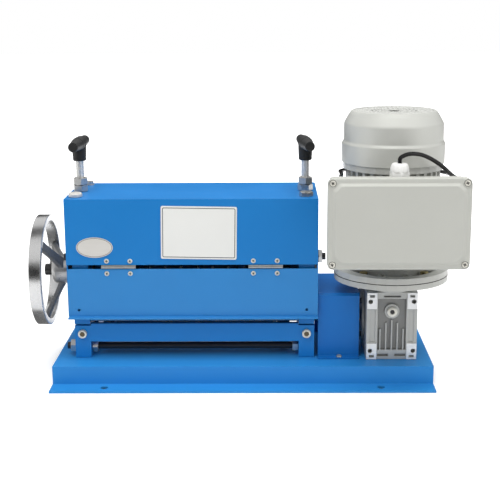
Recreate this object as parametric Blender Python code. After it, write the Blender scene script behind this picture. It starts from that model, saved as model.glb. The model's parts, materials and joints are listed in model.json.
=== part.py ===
"""Bench wire stripping machine, modelled as separate solids.

Units are metres and +Z is up.  The origin is the middle of the front mounting
flange's underside, +X runs along the base towards the motor and +Y runs from
the front of the machine to its back.
"""

import math

import bmesh
import bpy
from mathutils import Matrix, Vector

# Clearances.
GAP = 0.0003
RUNNING_GAP = 0.0006
CUT_OVERRUN = 0.002
WELD = 0.000001
SHARP_ANGLE = math.radians(32)
SMALL_ROUND = 0.004
MEDIUM_ROUND = 0.014

# Base: a bent hat section with a flange along the front and the back.
BASE_LENGTH = 0.530
BASE_DEPTH = 0.205
BASE_HEIGHT = 0.028
BASE_SHEET = 0.003
BASE_FLANGE = 0.030
BASE_HOLE_RADIUS = 0.0055
BASE_HOLE_FROM_END = 0.074

# Stripping head: two side plates joined by a front portal and two tie rods.
HEAD_X = -0.0687
PLATE_OFFSET = 0.1585
SCREW_SHIFTS = {"left": -0.0048, "right": -0.0008}
PLATE_THICKNESS = 0.022
PLATE_FRONT = 0.041
PLATE_DEPTH = 0.124
PLATE_STEP_Z = 0.0775
FOOT_DEPTH = 0.017
ARCH_HEIGHT = 0.0165
REAR_FOOT_DEPTH = 0.020

PORTAL_THICKNESS = 0.008
PORTAL_TOP_Z = 0.0752
PORTAL_RAISE = 0.003
PORTAL_BEAM_HEIGHT = 0.0233
PORTAL_SCREW_Z = 0.0638
PORTAL_SCREW_RADIUS = 0.003
PORTAL_SCREW_GRIP = 0.012
SOCKET_HEAD_RADIUS = 0.0065
SOCKET_HEAD_HEIGHT = 0.005
SOCKET_RADIUS = 0.0028
SOCKET_DEPTH = 0.003

ROD_RADIUS = 0.005
NUT_FLATS = 0.017
NUT_HEIGHT = 0.0084
UPPER_NUT_HEIGHT = 0.0056
LOWER_ROD_Y = 0.0725
LOWER_ROD_Z = 0.0411
LOWER_ROD_STUB = 0.005
UPPER_ROD_Y = 0.065
UPPER_ROD_Z = 0.1735
UPPER_ROD_STUB = 0.0048

# Rollers: the driven shaft below, the blade shaft above it.
AXIS_Y = 0.117
DRIVE_Z = 0.0766
GEAR_TEETH = 22
GEAR_MODULE = 0.003
GEAR_WIDTH = 0.018
GEAR_BACKLASH = 0.0005
GEAR_ROOT_SHARE = 1.25
GEAR_TIP_SHARE = 0.9
PRESSURE_ANGLE = math.radians(20)
SHAFT_RADIUS = 0.0125
ROLLER_LENGTH = 0.250
ROLLER_END_SPACE = 0.014
ROLLER_RADIUS = 0.030
KNURL_COUNT = 36
KNURL_DEPTH = 0.0012
BLADE_RADIUS = 0.035
BLADE_COUNT = 10
BLADE_THICKNESS = 0.0036
BLADE_SPACER_RADIUS = 0.0315
BEARING_RADIUS = 0.0235
BEARING_WIDTH = 0.012
SHAFT_END_INSET = 0.002
BLADE_SHAFT_SHOULDER = 0.002

# Sliding bearing blocks and their pressure screws.
BLOCK_DEPTH = 0.050
BLOCK_HEIGHT = 0.052
BLOCK_LIFT = 0.010
BLOCK_DROP = 0.0005
BLOCK_POCKET = 0.008
SCREW_RADIUS = 0.006
COVER_NUT_FLATS = 0.0175
COVER_NUT_HEIGHT = 0.0095
SCREW_SHOWN = 0.0245
SCREW_IN_HANDLE = 0.0163
HANDLE_BODY_RADIUS = 0.010
HANDLE_BODY_HEIGHT = 0.0275
HANDLE_BODY_CHAMFER = 0.0015
HANDLE_CROWN = 0.003
HANDLE_BAR_RISE = 0.0243
HANDLE_BAR_LENGTH = 0.087
HANDLE_BAR_RADIUS = 0.0083
HANDLE_BAR_END_RADIUS = 0.0057
HANDLE_BAR_MIDDLE_SHARE = 0.42
HANDLE_BAR_CHAMFER = 0.0012
HANDLE_TURNS = {"left": math.radians(-1.9), "right": math.radians(7)}

# Upper cover, hinged flap and hinges.
COVER_X = -0.070
COVER_LENGTH = 0.351
COVER_DEPTH = 0.137
COVER_FRONT_Y = 0.0502
COVER_TOP_Z = 0.2578
COVER_SHEET = 0.0017
COVER_FRONT_LOW_Z = 0.165
COVER_SIDE_LOW_Z = 0.090
FLAP_LOW_Z = 0.0883
FLAP_LIP = 0.008
FLAP_INSET = 0.001
FLAP_LIP_SHEET = 0.002
FLAP_HOLE_RADIUS = 0.002
FLAP_HOLE_INSET = 0.0155
FLAP_HOLE_RISE = 0.0115
HINGE_HALF_GAP = 0.003
HINGE_OFFSET = 0.1025
HINGE_LENGTH = 0.048
HINGE_KNUCKLE_RADIUS = 0.0027
HINGE_PIN_RADIUS = 0.0012
HINGE_LEAF = 0.0014
HINGE_LEAF_HEIGHT = 0.017
HINGE_MIDDLE_SHARE = 0.4
WHEEL_SLOT_WIDTH = 0.026
WHEEL_SLOT_LOW_Z = 0.126
WHEEL_SLOT_HIGH_Z = 0.168
COVER_BOLT_FLATS = 0.017
COVER_BOLT_HEAD = 0.0064
COVER_BOLT_SHANK = 0.005
COVER_BOLT_DEPTH = 0.016
COVER_BOLT_Y = 0.0705

SIGN_LENGTH = 0.105
SIGN_HEIGHT = 0.0745
SIGN_X = -0.0598
SIGN_Z = 0.2104
SIGN_THICKNESS = 0.0006
SIGN_TILT = math.radians(1)
SIGN_CORNER = 0.002
OVAL_LENGTH = 0.051
OVAL_HEIGHT = 0.029
OVAL_X = -0.205
OVAL_Z = 0.190

TABLE_Y = 0.0695
TABLE_Z = 0.0900
TABLE_DEPTH = 0.027
TABLE_THICKNESS = 0.007
TABLE_SLOPE = math.radians(25)
TABLE_GROOVE_WIDTH = 0.008
TABLE_GROOVE_DEPTH = 0.003

# Handwheel on the left end of the blade shaft.
WHEEL_RADIUS = 0.080
RIM_WIDTH = 0.017
RIM_THICKNESS = 0.009
RIM_ROUNDING = 0.003
RIM_LEFT_X = -0.2966
WHEEL_HUB_RADIUS = 0.020
WHEEL_HUB_LEFT_X = -0.277
WHEEL_HUB_RIGHT_X = -0.2465
WHEEL_SEAT_RADIUS = 0.010
WHEEL_SPOKE_WIDTH = 0.013
WHEEL_SPOKE_THICKNESS = 0.007
WHEEL_SPOKES = 3
WHEEL_SPOKE_START = math.radians(45)
SHAFT_STUB_RADIUS = 0.008
SHAFT_STUB_X = -0.288

# Coupling guard between the head and the gearbox.
GUARD_COVER_SPACE = 0.0006
GUARD_GEARBOX_SPACE = 0.0092
GUARD_FRONT_Y = 0.0595
GUARD_DEPTH = 0.1205
GUARD_TOP_Z = 0.1203
GUARD_SHEET = 0.0015
GUARD_FOOT = 0.013
GUARD_BEND = 0.003

# Worm gearbox: the input axis is upright, the output axis lies on the drive axis.
MOTOR_X = 0.209
CENTRE_DISTANCE = 0.040
BOX_WIDTH = 0.071
BOX_FRONT_FROM_AXIS = 0.0715
BOX_BACK_FROM_AXIS = 0.050
BOX_TOP_Z = 0.1256
BOX_BACK_CHAMFER = 0.014
WHEEL_CAVITY_RADIUS = 0.036
WORM_CAVITY_RADIUS = 0.020
WORM_CAVITY_LOW_Z = 0.038
PAD_WIDTH = 0.0145
PAD_HEIGHT = 0.0235
PAD_PROUD = 0.002
PAD_HOLE_RADIUS = 0.00325
PAD_HOLE_DEPTH = 0.008
PAD_HOLE_FROM_EDGE = 0.0053
PAD_HOLE_FROM_END = 0.0127
PAD_SLOT_WIDTH = 0.0068
PAD_SLOT_HEIGHT = 0.0038
PAD_SLOT_FROM_EDGE = 0.0075
PAD_SLOT_FROM_END = 0.0048
GROOVE_WIDTH = 0.008
GROOVE_FROM_EDGE = 0.0045
GROOVE_FROM_PAD = 0.002
GROOVE_DEPTH = 0.0015
RECESS_WIDTH = 0.040
RECESS_DEPTH = 0.005
RECESS_LOW_Z = 0.042
RECESS_HIGH_Z = 0.1165
FIN_COUNT = 5
FIN_PITCH = 0.0081
FIN_THICKNESS = 0.0018
FIN_HIGH_Z = 0.086
FIN_DROP = 0.0048
FIN_DROP_POWER = 1.5
FOOT_SLOT_RISE = 0.0042
FOOT_SLOT_FROM_MIDDLE = 0.0045
HEAD_SLOT_WIDTH = 0.0234
HEAD_SLOT_HEIGHT = 0.0026
HEAD_SLOT_DROP = 0.0044
SLOT_DEPTH = 0.0035
PLUG_Z = 0.0982
PLUG_RADIUS = 0.0068
PLUG_HEAD = 0.004
PLUG_SHANK_RADIUS = 0.0045
PLUG_SHANK = 0.008
PLUG_SOCKET_RADIUS = 0.0030
PLUG_BOSS_RADIUS = 0.0105
SIDE_COVER_RADIUS = 0.041
SIDE_COVER_PROUD = 0.0035
SIDE_COVER_PLUG = 0.007
OUTPUT_RADIUS = 0.009
OUTPUT_END = 0.003
WHEEL_SLEEVE_RADIUS = 0.0125
WORM_WHEEL_RADIUS = 0.0272
WORM_WHEEL_WIDTH = 0.024
WORM_WHEEL_TEETH = 30
WORM_WHEEL_TOOTH = 0.003
TOOTH_TOP_SHARE = 0.5
TOOTH_ROOT_SHARE = 0.75
WORM_RADIUS = 0.0122
WORM_LENGTH = 0.056
WORM_THREAD = 0.003
WORM_PITCH = 0.008

# Motor: flanges, finned body, fan cover.
FLANGE_RADIUS = 0.080
NECK_RADIUS = 0.0345
INPUT_FLANGE_LOW_Z = 0.1403
FLANGE_JOINT_Z = 0.1481
FLANGE_RING_TOP_Z = 0.157
FLANGE_RING_WIDTH = 0.014
FLANGE_FLOOR = 0.0035
FLANGE_BOSS_RADIUS = 0.050
FLANGE_BOSS_TOP_Z = 0.166
FLANGE_RIBS = 8
FLANGE_RIB_THICKNESS = 0.005
FLANGE_RIB_DROP = 0.002
FLANGE_RIB_SHARE = 0.5
BODY_CORE_RADIUS = 0.056
BODY_FIN_RADIUS = 0.065
BODY_FINS = 32
BODY_FIN_SHARE = 0.36
BODY_BORE = 0.034
BODY_HEAD_LOW_Z = 0.297
BODY_HEAD_HEIGHT = 0.015
BODY_CAP = 0.006
TERMINAL_PAD_WIDTH = 0.076
TERMINAL_PAD_LOW_Z = 0.205
TERMINAL_PAD_HIGH_Z = 0.283
TERMINAL_PAD_REACH = 0.067
COVER_BAND_RADIUS = 0.0708
COVER_BAND_LAP = 0.0062
COVER_BAND_HEIGHT = 0.0278
COVER_UPPER_RADIUS = 0.0683
COVER_UPPER_HEIGHT = 0.0254
COVER_CROWN_RADIUS = 0.058
COVER_CROWN_HEIGHT = 0.017
FAN_COVER_SHEET = 0.0016
GRILLE_RADIUS = 0.054
GRILLE_OUTER_RADIUS = 0.050
GRILLE_INNER_RADIUS = 0.020
GRILLE_SLOTS = 16
GRILLE_SLOT_WIDTH = 0.0042
ROTOR_RADIUS = 0.0334
ROTOR_LOW_Z = 0.185
ROTOR_HIGH_Z = 0.285
MOTOR_SHAFT_RADIUS = 0.007
ROTOR_SHAFT_RADIUS = 0.0085
ROTOR_END_SPACE = 0.028
FAN_SPACE = 0.030
FAN_HEIGHT = 0.024
FAN_RADIUS = 0.059
FAN_HUB_RADIUS = 0.017
FAN_DISC = 0.003
FAN_DISC_SHARE = 0.7
FAN_BLADES = 7
FAN_BLADE_THICKNESS = 0.0025

# Control box, its terminal base, gland and lead.  The lead's route is measured from the
# motor's axis and from the middle of the terminal base.
LID_SHIFT = -0.0034
LID_WIDTH = 0.186
LID_LOW_Z = 0.1802
LID_HEIGHT = 0.1211
LID_FRONT_Y = -0.045
LID_DEPTH = 0.010
LID_CORNER = 0.009
LID_PANEL_INSET = 0.013
LID_PANEL_PROUD = 0.002
LID_PANEL_CHAMFER = 0.016
TRAY_INSET = 0.004
TRAY_DEPTH = 0.030
TRAY_WALL = 0.003
TERMINAL_BASE_WIDTH = 0.062
TERMINAL_BASE_HEIGHT = 0.066
TERMINAL_BASE_WALL = 0.004
GLAND_SHIFT = -0.002
GLAND_Y = -0.0200
GLAND_RADIUS = 0.0128
GLAND_FLATS = 0.0235
GLAND_HEX_HEIGHT = 0.006
GLAND_CAP_HEIGHT = 0.0135
GLAND_STEM_RADIUS = 0.008
GLAND_STEM = 0.010
LEAD_RADIUS = 0.0028
LEAD_ENTRY = 0.006
SIDE_GLAND_FLATS = 0.011
SIDE_GLAND_LENGTH = 0.013
SIDE_GLAND_STEM_RADIUS = 0.0035
GLAND_SKIN = 0.0015
LEAD_POINTS = 46
LEAD_ROUTE = (
    (-0.0014, -0.0965, 0.0792),
    (0.0038, -0.0950, 0.0824),
    (0.0118, -0.0930, 0.0844),
    (0.0221, -0.0890, 0.0835),
    (0.0310, -0.0850, 0.0808),
    (0.0404, -0.0800, 0.0761),
    (0.0510, -0.0750, 0.0693),
    (0.0594, -0.0700, 0.0627),
    (0.0661, -0.0650, 0.0565),
    (0.0729, -0.0590, 0.0505),
    (0.0790, -0.0450, 0.0455),
    (0.0810, -0.0190, 0.0430),
    (0.0770, 0.0180, 0.0420),
    (0.0520, 0.0560, 0.0410),
    (0.0000, 0.0770, 0.0410),
    (-0.0520, 0.0560, 0.0420),
    (-0.0705, 0.0230, 0.0445),
    (-0.0712, -0.0010, 0.0455),
    (-0.0725, -0.0190, 0.0450),
    (-0.0760, -0.0370, 0.0410),
    (-0.0780, -0.0540, 0.0300),
    (-0.0720, -0.0675, 0.0160),
    (-0.0620, -0.0730, 0.0040),
    (-0.0520, -0.0743, 0.0000),
)

# Finishes.
BLUE = ((0.018, 0.19, 0.53), 0.38, 0.0)
ZINC = ((0.62, 0.62, 0.60), 0.28, 1.0)
STEEL = ((0.45, 0.45, 0.46), 0.32, 1.0)
BLACK_STEEL = ((0.02, 0.02, 0.022), 0.38, 0.6)
BLACK_PLASTIC = ((0.012, 0.012, 0.013), 0.45, 0.0)
CAST_GREY = ((0.42, 0.43, 0.41), 0.45, 0.35)
MOTOR_GREY = ((0.50, 0.52, 0.50), 0.42, 0.1)
BOX_GREY = ((0.51, 0.52, 0.48), 0.50, 0.0)
POLISHED = ((0.72, 0.73, 0.74), 0.18, 1.0)
WHITE_PLATE = ((0.82, 0.82, 0.82), 0.35, 0.0)
SILVER_PLATE = ((0.70, 0.71, 0.72), 0.30, 0.8)
NYLON = ((0.85, 0.85, 0.82), 0.45, 0.0)
BRONZE = ((0.50, 0.30, 0.12), 0.35, 1.0)
CABLE_BLACK = ((0.015, 0.015, 0.016), 0.55, 0.0)

# Places that derive.
BASE_BACK_Y = BASE_FLANGE / 2 + BASE_DEPTH
BASE_FRONT_Y = BASE_FLANGE / 2
PLATE_CENTRES = {"left": HEAD_X - PLATE_OFFSET, "right": HEAD_X + PLATE_OFFSET}
SCREW_CENTRES = {side: x + SCREW_SHIFTS[side] for side, x in PLATE_CENTRES.items()}
PLATE_FRONT_Y = BASE_FRONT_Y + PLATE_FRONT
PLATE_BACK_Y = PLATE_FRONT_Y + PLATE_DEPTH
PLATE_LOW_Z = BASE_HEIGHT + GAP
COVER_ROOF_Z = COVER_TOP_Z - COVER_SHEET
PLATE_TOP_Z = COVER_ROOF_Z - GAP
BLADE_Z = DRIVE_Z + GEAR_MODULE * GEAR_TEETH
SPAN_LEFT_X = PLATE_CENTRES["left"] + PLATE_THICKNESS / 2
SPAN_RIGHT_X = PLATE_CENTRES["right"] - PLATE_THICKNESS / 2
ROLLER_LEFT_X = SPAN_LEFT_X + ROLLER_END_SPACE
ROLLER_RIGHT_X = ROLLER_LEFT_X + ROLLER_LENGTH
GEAR_LEFT_X = ROLLER_RIGHT_X + RUNNING_GAP
GEAR_RIGHT_X = GEAR_LEFT_X + GEAR_WIDTH
PLATE_OUTER_LEFT_X = PLATE_CENTRES["left"] - PLATE_THICKNESS / 2
PLATE_OUTER_RIGHT_X = PLATE_CENTRES["right"] + PLATE_THICKNESS / 2
COVER_LEFT_X = COVER_X - COVER_LENGTH / 2
COVER_RIGHT_X = COVER_X + COVER_LENGTH / 2
COVER_BACK_Y = COVER_FRONT_Y + COVER_DEPTH
NUT_TOP_Z = COVER_TOP_Z + 2 * (COVER_NUT_HEIGHT + GAP)
HANDLE_LOW_Z = NUT_TOP_Z + SCREW_SHOWN
SCREW_TOP_Z = HANDLE_LOW_Z + SCREW_IN_HANDLE
HINGE_Y = COVER_FRONT_Y + COVER_SHEET / 2
HINGE_Z = COVER_FRONT_LOW_Z - HINGE_HALF_GAP
FLAP_TOP_Z = HINGE_Z - HINGE_HALF_GAP
MOTOR_Y = AXIS_Y - CENTRE_DISTANCE
BOX_FRONT_Y = AXIS_Y - BOX_FRONT_FROM_AXIS
BOX_BACK_Y = AXIS_Y + BOX_BACK_FROM_AXIS
BOX_LEFT_X = MOTOR_X - BOX_WIDTH / 2
BOX_RIGHT_X = MOTOR_X + BOX_WIDTH / 2
BOX_LOW_Z = BASE_HEIGHT + GAP
GUARD_LEFT_X = COVER_RIGHT_X + GUARD_COVER_SPACE
GUARD_RIGHT_X = BOX_LEFT_X - GUARD_GEARBOX_SPACE
NECK_LOW_Z = BOX_TOP_Z + GAP
MOTOR_FLANGE_LOW_Z = FLANGE_JOINT_Z + GAP
BODY_LOW_Z = FLANGE_BOSS_TOP_Z + GAP
BODY_HEAD_HIGH_Z = BODY_HEAD_LOW_Z + BODY_HEAD_HEIGHT
COVER_BAND_LOW_Z = BODY_HEAD_HIGH_Z - COVER_BAND_LAP
COVER_BAND_HIGH_Z = COVER_BAND_LOW_Z + COVER_BAND_HEIGHT
COVER_SHOULDER_Z = COVER_BAND_HIGH_Z + COVER_UPPER_HEIGHT
COVER_CROWN_Z = COVER_SHOULDER_Z + COVER_CROWN_HEIGHT
ROTOR_TOP_Z = COVER_CROWN_Z - ROTOR_END_SPACE
FAN_HIGH_Z = COVER_CROWN_Z - FAN_SPACE
FAN_LOW_Z = FAN_HIGH_Z - FAN_HEIGHT
TERMINAL_PAD_Y = MOTOR_Y - TERMINAL_PAD_REACH
TRAY_FRONT_Y = LID_FRONT_Y + LID_DEPTH + GAP
TRAY_BACK_Y = TRAY_FRONT_Y + TRAY_DEPTH
TRAY_TOP_Z = LID_LOW_Z + LID_HEIGHT - TRAY_INSET
TERMINAL_Z = (TERMINAL_PAD_LOW_Z + TERMINAL_PAD_HIGH_Z) / 2
LID_LEFT_X = MOTOR_X + LID_SHIFT - LID_WIDTH / 2
GLAND_X = MOTOR_X + GLAND_SHIFT


# Helpers.
def along(axis, a, b, c):
    """Place a point given in an axis's own frame: (a, b) across it, c along it."""
    return {"X": (c, a, b), "Y": (a, c, b), "Z": (a, b, c)}[axis]


def new_object(bm):
    """Turn a bmesh into an object with its faces pointing out."""
    bmesh.ops.remove_doubles(bm, verts=bm.verts, dist=WELD)
    bmesh.ops.recalc_face_normals(bm, faces=bm.faces)
    mesh = bpy.data.meshes.new("shape")
    bm.to_mesh(mesh)
    bm.free()
    obj = bpy.data.objects.new("shape", mesh)
    bpy.context.scene.collection.objects.link(obj)
    return obj


def prism(outline, axis, start, end):
    """Extrude an outline, drawn across the axis, from start to end."""
    bm = bmesh.new()
    face = bm.faces.new([bm.verts.new(along(axis, a, b, start)) for a, b in outline])
    moved = bmesh.ops.extrude_face_region(bm, geom=[face])["geom"]
    tops = [item for item in moved if isinstance(item, bmesh.types.BMVert)]
    bmesh.ops.translate(bm, verts=tops, vec=Vector(along(axis, 0, 0, end - start)))
    return new_object(bm)


def block(low, high):
    """A box between two opposite corners."""
    outline = [(low[0], low[1]), (high[0], low[1]), (high[0], high[1]), (low[0], high[1])]
    return prism(outline, "Z", low[2], high[2])


def circle(centre, radius, segments, turn=0.0):
    """Points round a circle."""
    step = 2 * math.pi / segments
    return [
        (centre[0] + radius * math.cos(turn + i * step), centre[1] + radius * math.sin(turn + i * step))
        for i in range(segments)
    ]


def sides(radius):
    """How many sides a round of this radius gets."""
    return 12 if radius < SMALL_ROUND else 16 if radius < MEDIUM_ROUND else 28


def bar(axis, centre, radius, start, end):
    """A round bar along an axis."""
    return prism(circle(centre, radius, sides(radius)), axis, start, end)


def hexagon(axis, centre, flats, start, end):
    """A hexagonal prism, measured across its flats."""
    return prism(circle(centre, flats / math.sqrt(3), 6), axis, start, end)


def turned(axis, centre, profile, segments=32):
    """Spin a closed profile of (distance along the axis, radius) pairs."""
    bm = bmesh.new()
    verts = [bm.verts.new(along(axis, centre[0] + radius, centre[1], at)) for at, radius in profile]
    edges = [bm.edges.new((verts[i - 1], verts[i])) for i in range(len(verts))]
    bmesh.ops.spin(
        bm,
        geom=verts + edges,
        cent=Vector(along(axis, centre[0], centre[1], 0)),
        axis=Vector(along(axis, 0, 0, 1)),
        angle=2 * math.pi,
        steps=segments,
        use_merge=True,
    )
    bmesh.ops.remove_doubles(bm, verts=bm.verts, dist=WELD)
    flat = [edge for edge in bm.edges if not edge.link_faces]
    bmesh.ops.delete(bm, geom=flat, context="EDGES")
    bmesh.ops.delete(bm, geom=[f for f in bm.faces if f.calc_area() < WELD * WELD], context="FACES_ONLY")
    return new_object(bm)


def combine(target, tools, operation):
    """Apply one Boolean for each tool, then remove the tools."""
    for tool in tools:
        modifier = target.modifiers.new("shape", "BOOLEAN")
        modifier.operation = operation
        modifier.object = tool
        graph = bpy.context.evaluated_depsgraph_get()
        mesh = bpy.data.meshes.new_from_object(target.evaluated_get(graph))
        target.modifiers.clear()
        old = target.data
        target.data = mesh
        bpy.data.meshes.remove(old)
        bpy.data.objects.remove(tool)
    return target


def cut(target, *tools):
    """Remove the tools from the target."""
    return combine(target, tools, "DIFFERENCE")


def join(target, *tools):
    """Fuse the tools into the target."""
    return combine(target, tools, "UNION")


def spun(obj, axis, centre, angle):
    """Turn a shape's mesh about an axis through a centre."""
    at = Matrix.Translation(Vector(along(axis, centre[0], centre[1], 0)))
    obj.data.transform(at @ Matrix.Rotation(angle, 4, axis) @ at.inverted())
    return obj


def finish(obj, name, look, origin=None):
    """Name a piece, give it its material and set its origin."""
    obj.name = name
    obj.data.name = name
    if origin is not None:
        offset = Vector(origin)
        for vertex in obj.data.vertices:
            vertex.co -= offset
        obj.location = offset
    colour, roughness, metallic = look
    material = bpy.data.materials.new(name + "_finish")
    material.use_nodes = True
    shader = material.node_tree.nodes["Principled BSDF"]
    shader.inputs["Base Color"].default_value = (*colour, 1.0)
    shader.inputs["Roughness"].default_value = roughness
    shader.inputs["Metallic"].default_value = metallic
    obj.data.materials.clear()
    obj.data.materials.append(material)
    obj.data.shade_smooth()
    obj.data.set_sharp_from_angle(angle=SHARP_ANGLE)
    return obj


def rod_hole(axis, centre, radius, start, end):
    """A cutter for a round hole that clears a bar of the given radius."""
    return bar(axis, centre, radius + GAP, start, end)


def nut(name, axis, centre, flats, bore, start, end, look=ZINC):
    """A hexagon nut with a clearance bore."""
    piece = cut(
        hexagon(axis, centre, flats, start, end),
        rod_hole(axis, centre, bore, start - CUT_OVERRUN, end + CUT_OVERRUN),
    )
    return finish(piece, name, look)


# Base.
def build_base():
    """The bent base plate with its flanges and fixing holes."""
    low = -BASE_FLANGE / 2
    inner_front = BASE_FRONT_Y + BASE_SHEET
    inner_back = BASE_BACK_Y - BASE_SHEET
    back = BASE_BACK_Y + BASE_FLANGE
    outline = [
        (low, 0),
        (inner_front, 0),
        (inner_front, BASE_HEIGHT - BASE_SHEET),
        (inner_back, BASE_HEIGHT - BASE_SHEET),
        (inner_back, 0),
        (back, 0),
        (back, BASE_SHEET),
        (BASE_BACK_Y, BASE_SHEET),
        (BASE_BACK_Y, BASE_HEIGHT),
        (BASE_FRONT_Y, BASE_HEIGHT),
        (BASE_FRONT_Y, BASE_SHEET),
        (low, BASE_SHEET),
    ]
    half = BASE_LENGTH / 2
    piece = prism(outline, "X", -half, half)
    for x in (BASE_HOLE_FROM_END - half, half - BASE_HOLE_FROM_END):
        for y in (0, BASE_BACK_Y + BASE_FLANGE / 2):
            hole = bar("Z", (x, y), BASE_HOLE_RADIUS, -CUT_OVERRUN, BASE_SHEET + CUT_OVERRUN)
            cut(piece, hole)
    finish(piece, "base_frame", BLUE)


# Stripping head.
def build_side_plate(side):
    """A side plate with its bearing window, rod holes and screw holes."""
    centre, screw = PLATE_CENTRES[side], SCREW_CENTRES[side]
    low_x, high_x = centre - PLATE_THICKNESS / 2, centre + PLATE_THICKNESS / 2
    foot_front = PLATE_FRONT_Y + PORTAL_THICKNESS + GAP
    arch_z = PLATE_LOW_Z + ARCH_HEIGHT
    outline = [
        (foot_front, PLATE_LOW_Z),
        (foot_front, PLATE_STEP_Z),
        (PLATE_FRONT_Y, PLATE_STEP_Z),
        (PLATE_FRONT_Y, PLATE_TOP_Z),
        (PLATE_BACK_Y, PLATE_TOP_Z),
        (PLATE_BACK_Y, PLATE_LOW_Z),
        (PLATE_BACK_Y - REAR_FOOT_DEPTH, PLATE_LOW_Z),
        (PLATE_BACK_Y - REAR_FOOT_DEPTH, arch_z),
        (foot_front + FOOT_DEPTH, arch_z),
        (foot_front + FOOT_DEPTH, PLATE_LOW_Z),
    ]
    piece = prism(outline, "X", low_x, high_x)
    start, end = low_x - CUT_OVERRUN, high_x + CUT_OVERRUN
    slot_half = BLOCK_DEPTH / 2 + GAP
    slot_low = BLADE_Z - BLOCK_HEIGHT / 2 - BLOCK_DROP - GAP
    slot_high = BLADE_Z + BLOCK_HEIGHT / 2 + BLOCK_LIFT + GAP
    cut(
        piece,
        block((start, AXIS_Y - slot_half, slot_low), (end, AXIS_Y + slot_half, slot_high)),
        rod_hole("X", (AXIS_Y, DRIVE_Z), BEARING_RADIUS, start, end),
        rod_hole("X", (LOWER_ROD_Y, LOWER_ROD_Z), ROD_RADIUS, start, end),
        rod_hole("X", (UPPER_ROD_Y, UPPER_ROD_Z), ROD_RADIUS, start, end),
        rod_hole("Z", (screw, AXIS_Y), SCREW_RADIUS, slot_high - CUT_OVERRUN, PLATE_TOP_Z + CUT_OVERRUN),
        rod_hole(
            "Z",
            (screw, COVER_BOLT_Y),
            COVER_BOLT_SHANK,
            COVER_ROOF_Z - COVER_BOLT_DEPTH - GAP,
            PLATE_TOP_Z + CUT_OVERRUN,
        ),
        rod_hole(
            "Y",
            (centre, PORTAL_SCREW_Z),
            PORTAL_SCREW_RADIUS,
            foot_front - CUT_OVERRUN,
            foot_front + PORTAL_SCREW_GRIP + GAP,
        ),
    )
    finish(piece, side + "_side_plate", BLUE)


def build_portal():
    """The front plate that joins the side plates, with its two socket head screws."""
    left, right = PLATE_OUTER_LEFT_X, PLATE_OUTER_RIGHT_X
    beam_z = PORTAL_TOP_Z - PORTAL_BEAM_HEIGHT
    raised_z = PORTAL_TOP_Z + PORTAL_RAISE
    outline = [
        (left, PLATE_LOW_Z),
        (SPAN_LEFT_X, PLATE_LOW_Z),
        (SPAN_LEFT_X, beam_z),
        (SPAN_RIGHT_X, beam_z),
        (SPAN_RIGHT_X, PLATE_LOW_Z),
        (right, PLATE_LOW_Z),
        (right, PORTAL_TOP_Z),
        (SPAN_RIGHT_X - RUNNING_GAP, PORTAL_TOP_Z),
        (SPAN_RIGHT_X - RUNNING_GAP, raised_z),
        (SPAN_LEFT_X + RUNNING_GAP, raised_z),
        (SPAN_LEFT_X + RUNNING_GAP, PORTAL_TOP_Z),
        (left, PORTAL_TOP_Z),
    ]
    back = PLATE_FRONT_Y + PORTAL_THICKNESS
    piece = prism(outline, "Y", PLATE_FRONT_Y, back)
    for side, centre in PLATE_CENTRES.items():
        at = (centre, PORTAL_SCREW_Z)
        cut(piece, rod_hole("Y", at, PORTAL_SCREW_RADIUS, PLATE_FRONT_Y - CUT_OVERRUN, back + CUT_OVERRUN))
        seat = PLATE_FRONT_Y - GAP
        screw = join(
            bar("Y", at, SOCKET_HEAD_RADIUS, seat - SOCKET_HEAD_HEIGHT, seat),
            bar("Y", at, PORTAL_SCREW_RADIUS, seat - SOCKET_DEPTH / 2, back + GAP + PORTAL_SCREW_GRIP),
        )
        face = seat - SOCKET_HEAD_HEIGHT
        cut(screw, prism(circle(at, SOCKET_RADIUS, 6), "Y", face - CUT_OVERRUN, face + SOCKET_DEPTH))
        finish(screw, side + "_portal_screw", ZINC)
    finish(piece, "front_portal_plate", BLUE)


def build_tie_rods():
    """Two black tie rods with their nuts: one low between the plates, one through the cover."""
    lower, upper = (LOWER_ROD_Y, LOWER_ROD_Z), (UPPER_ROD_Y, UPPER_ROD_Z)
    outer = PLATE_OUTER_LEFT_X - GAP
    places = {
        "left_outer": (outer - NUT_HEIGHT, outer),
        "left_inner": (SPAN_LEFT_X + GAP, SPAN_LEFT_X + GAP + NUT_HEIGHT),
        "right_inner": (SPAN_RIGHT_X - GAP - NUT_HEIGHT, SPAN_RIGHT_X - GAP),
    }
    for place, (start, end) in places.items():
        nut("lower_rod_nut_" + place, "X", lower, NUT_FLATS, ROD_RADIUS, start, end)
    left, right = outer - NUT_HEIGHT - LOWER_ROD_STUB, PLATE_OUTER_RIGHT_X - GAP
    finish(bar("X", lower, ROD_RADIUS, left, right), "lower_tie_rod", BLACK_STEEL)
    start = COVER_RIGHT_X + GAP
    end = start + UPPER_NUT_HEIGHT
    nut("upper_tie_nut", "X", upper, NUT_FLATS, ROD_RADIUS, start, end)
    left, right = COVER_LEFT_X - UPPER_ROD_STUB, end + UPPER_ROD_STUB
    finish(bar("X", upper, ROD_RADIUS, left, right), "upper_tie_rod", BLACK_STEEL)


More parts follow.
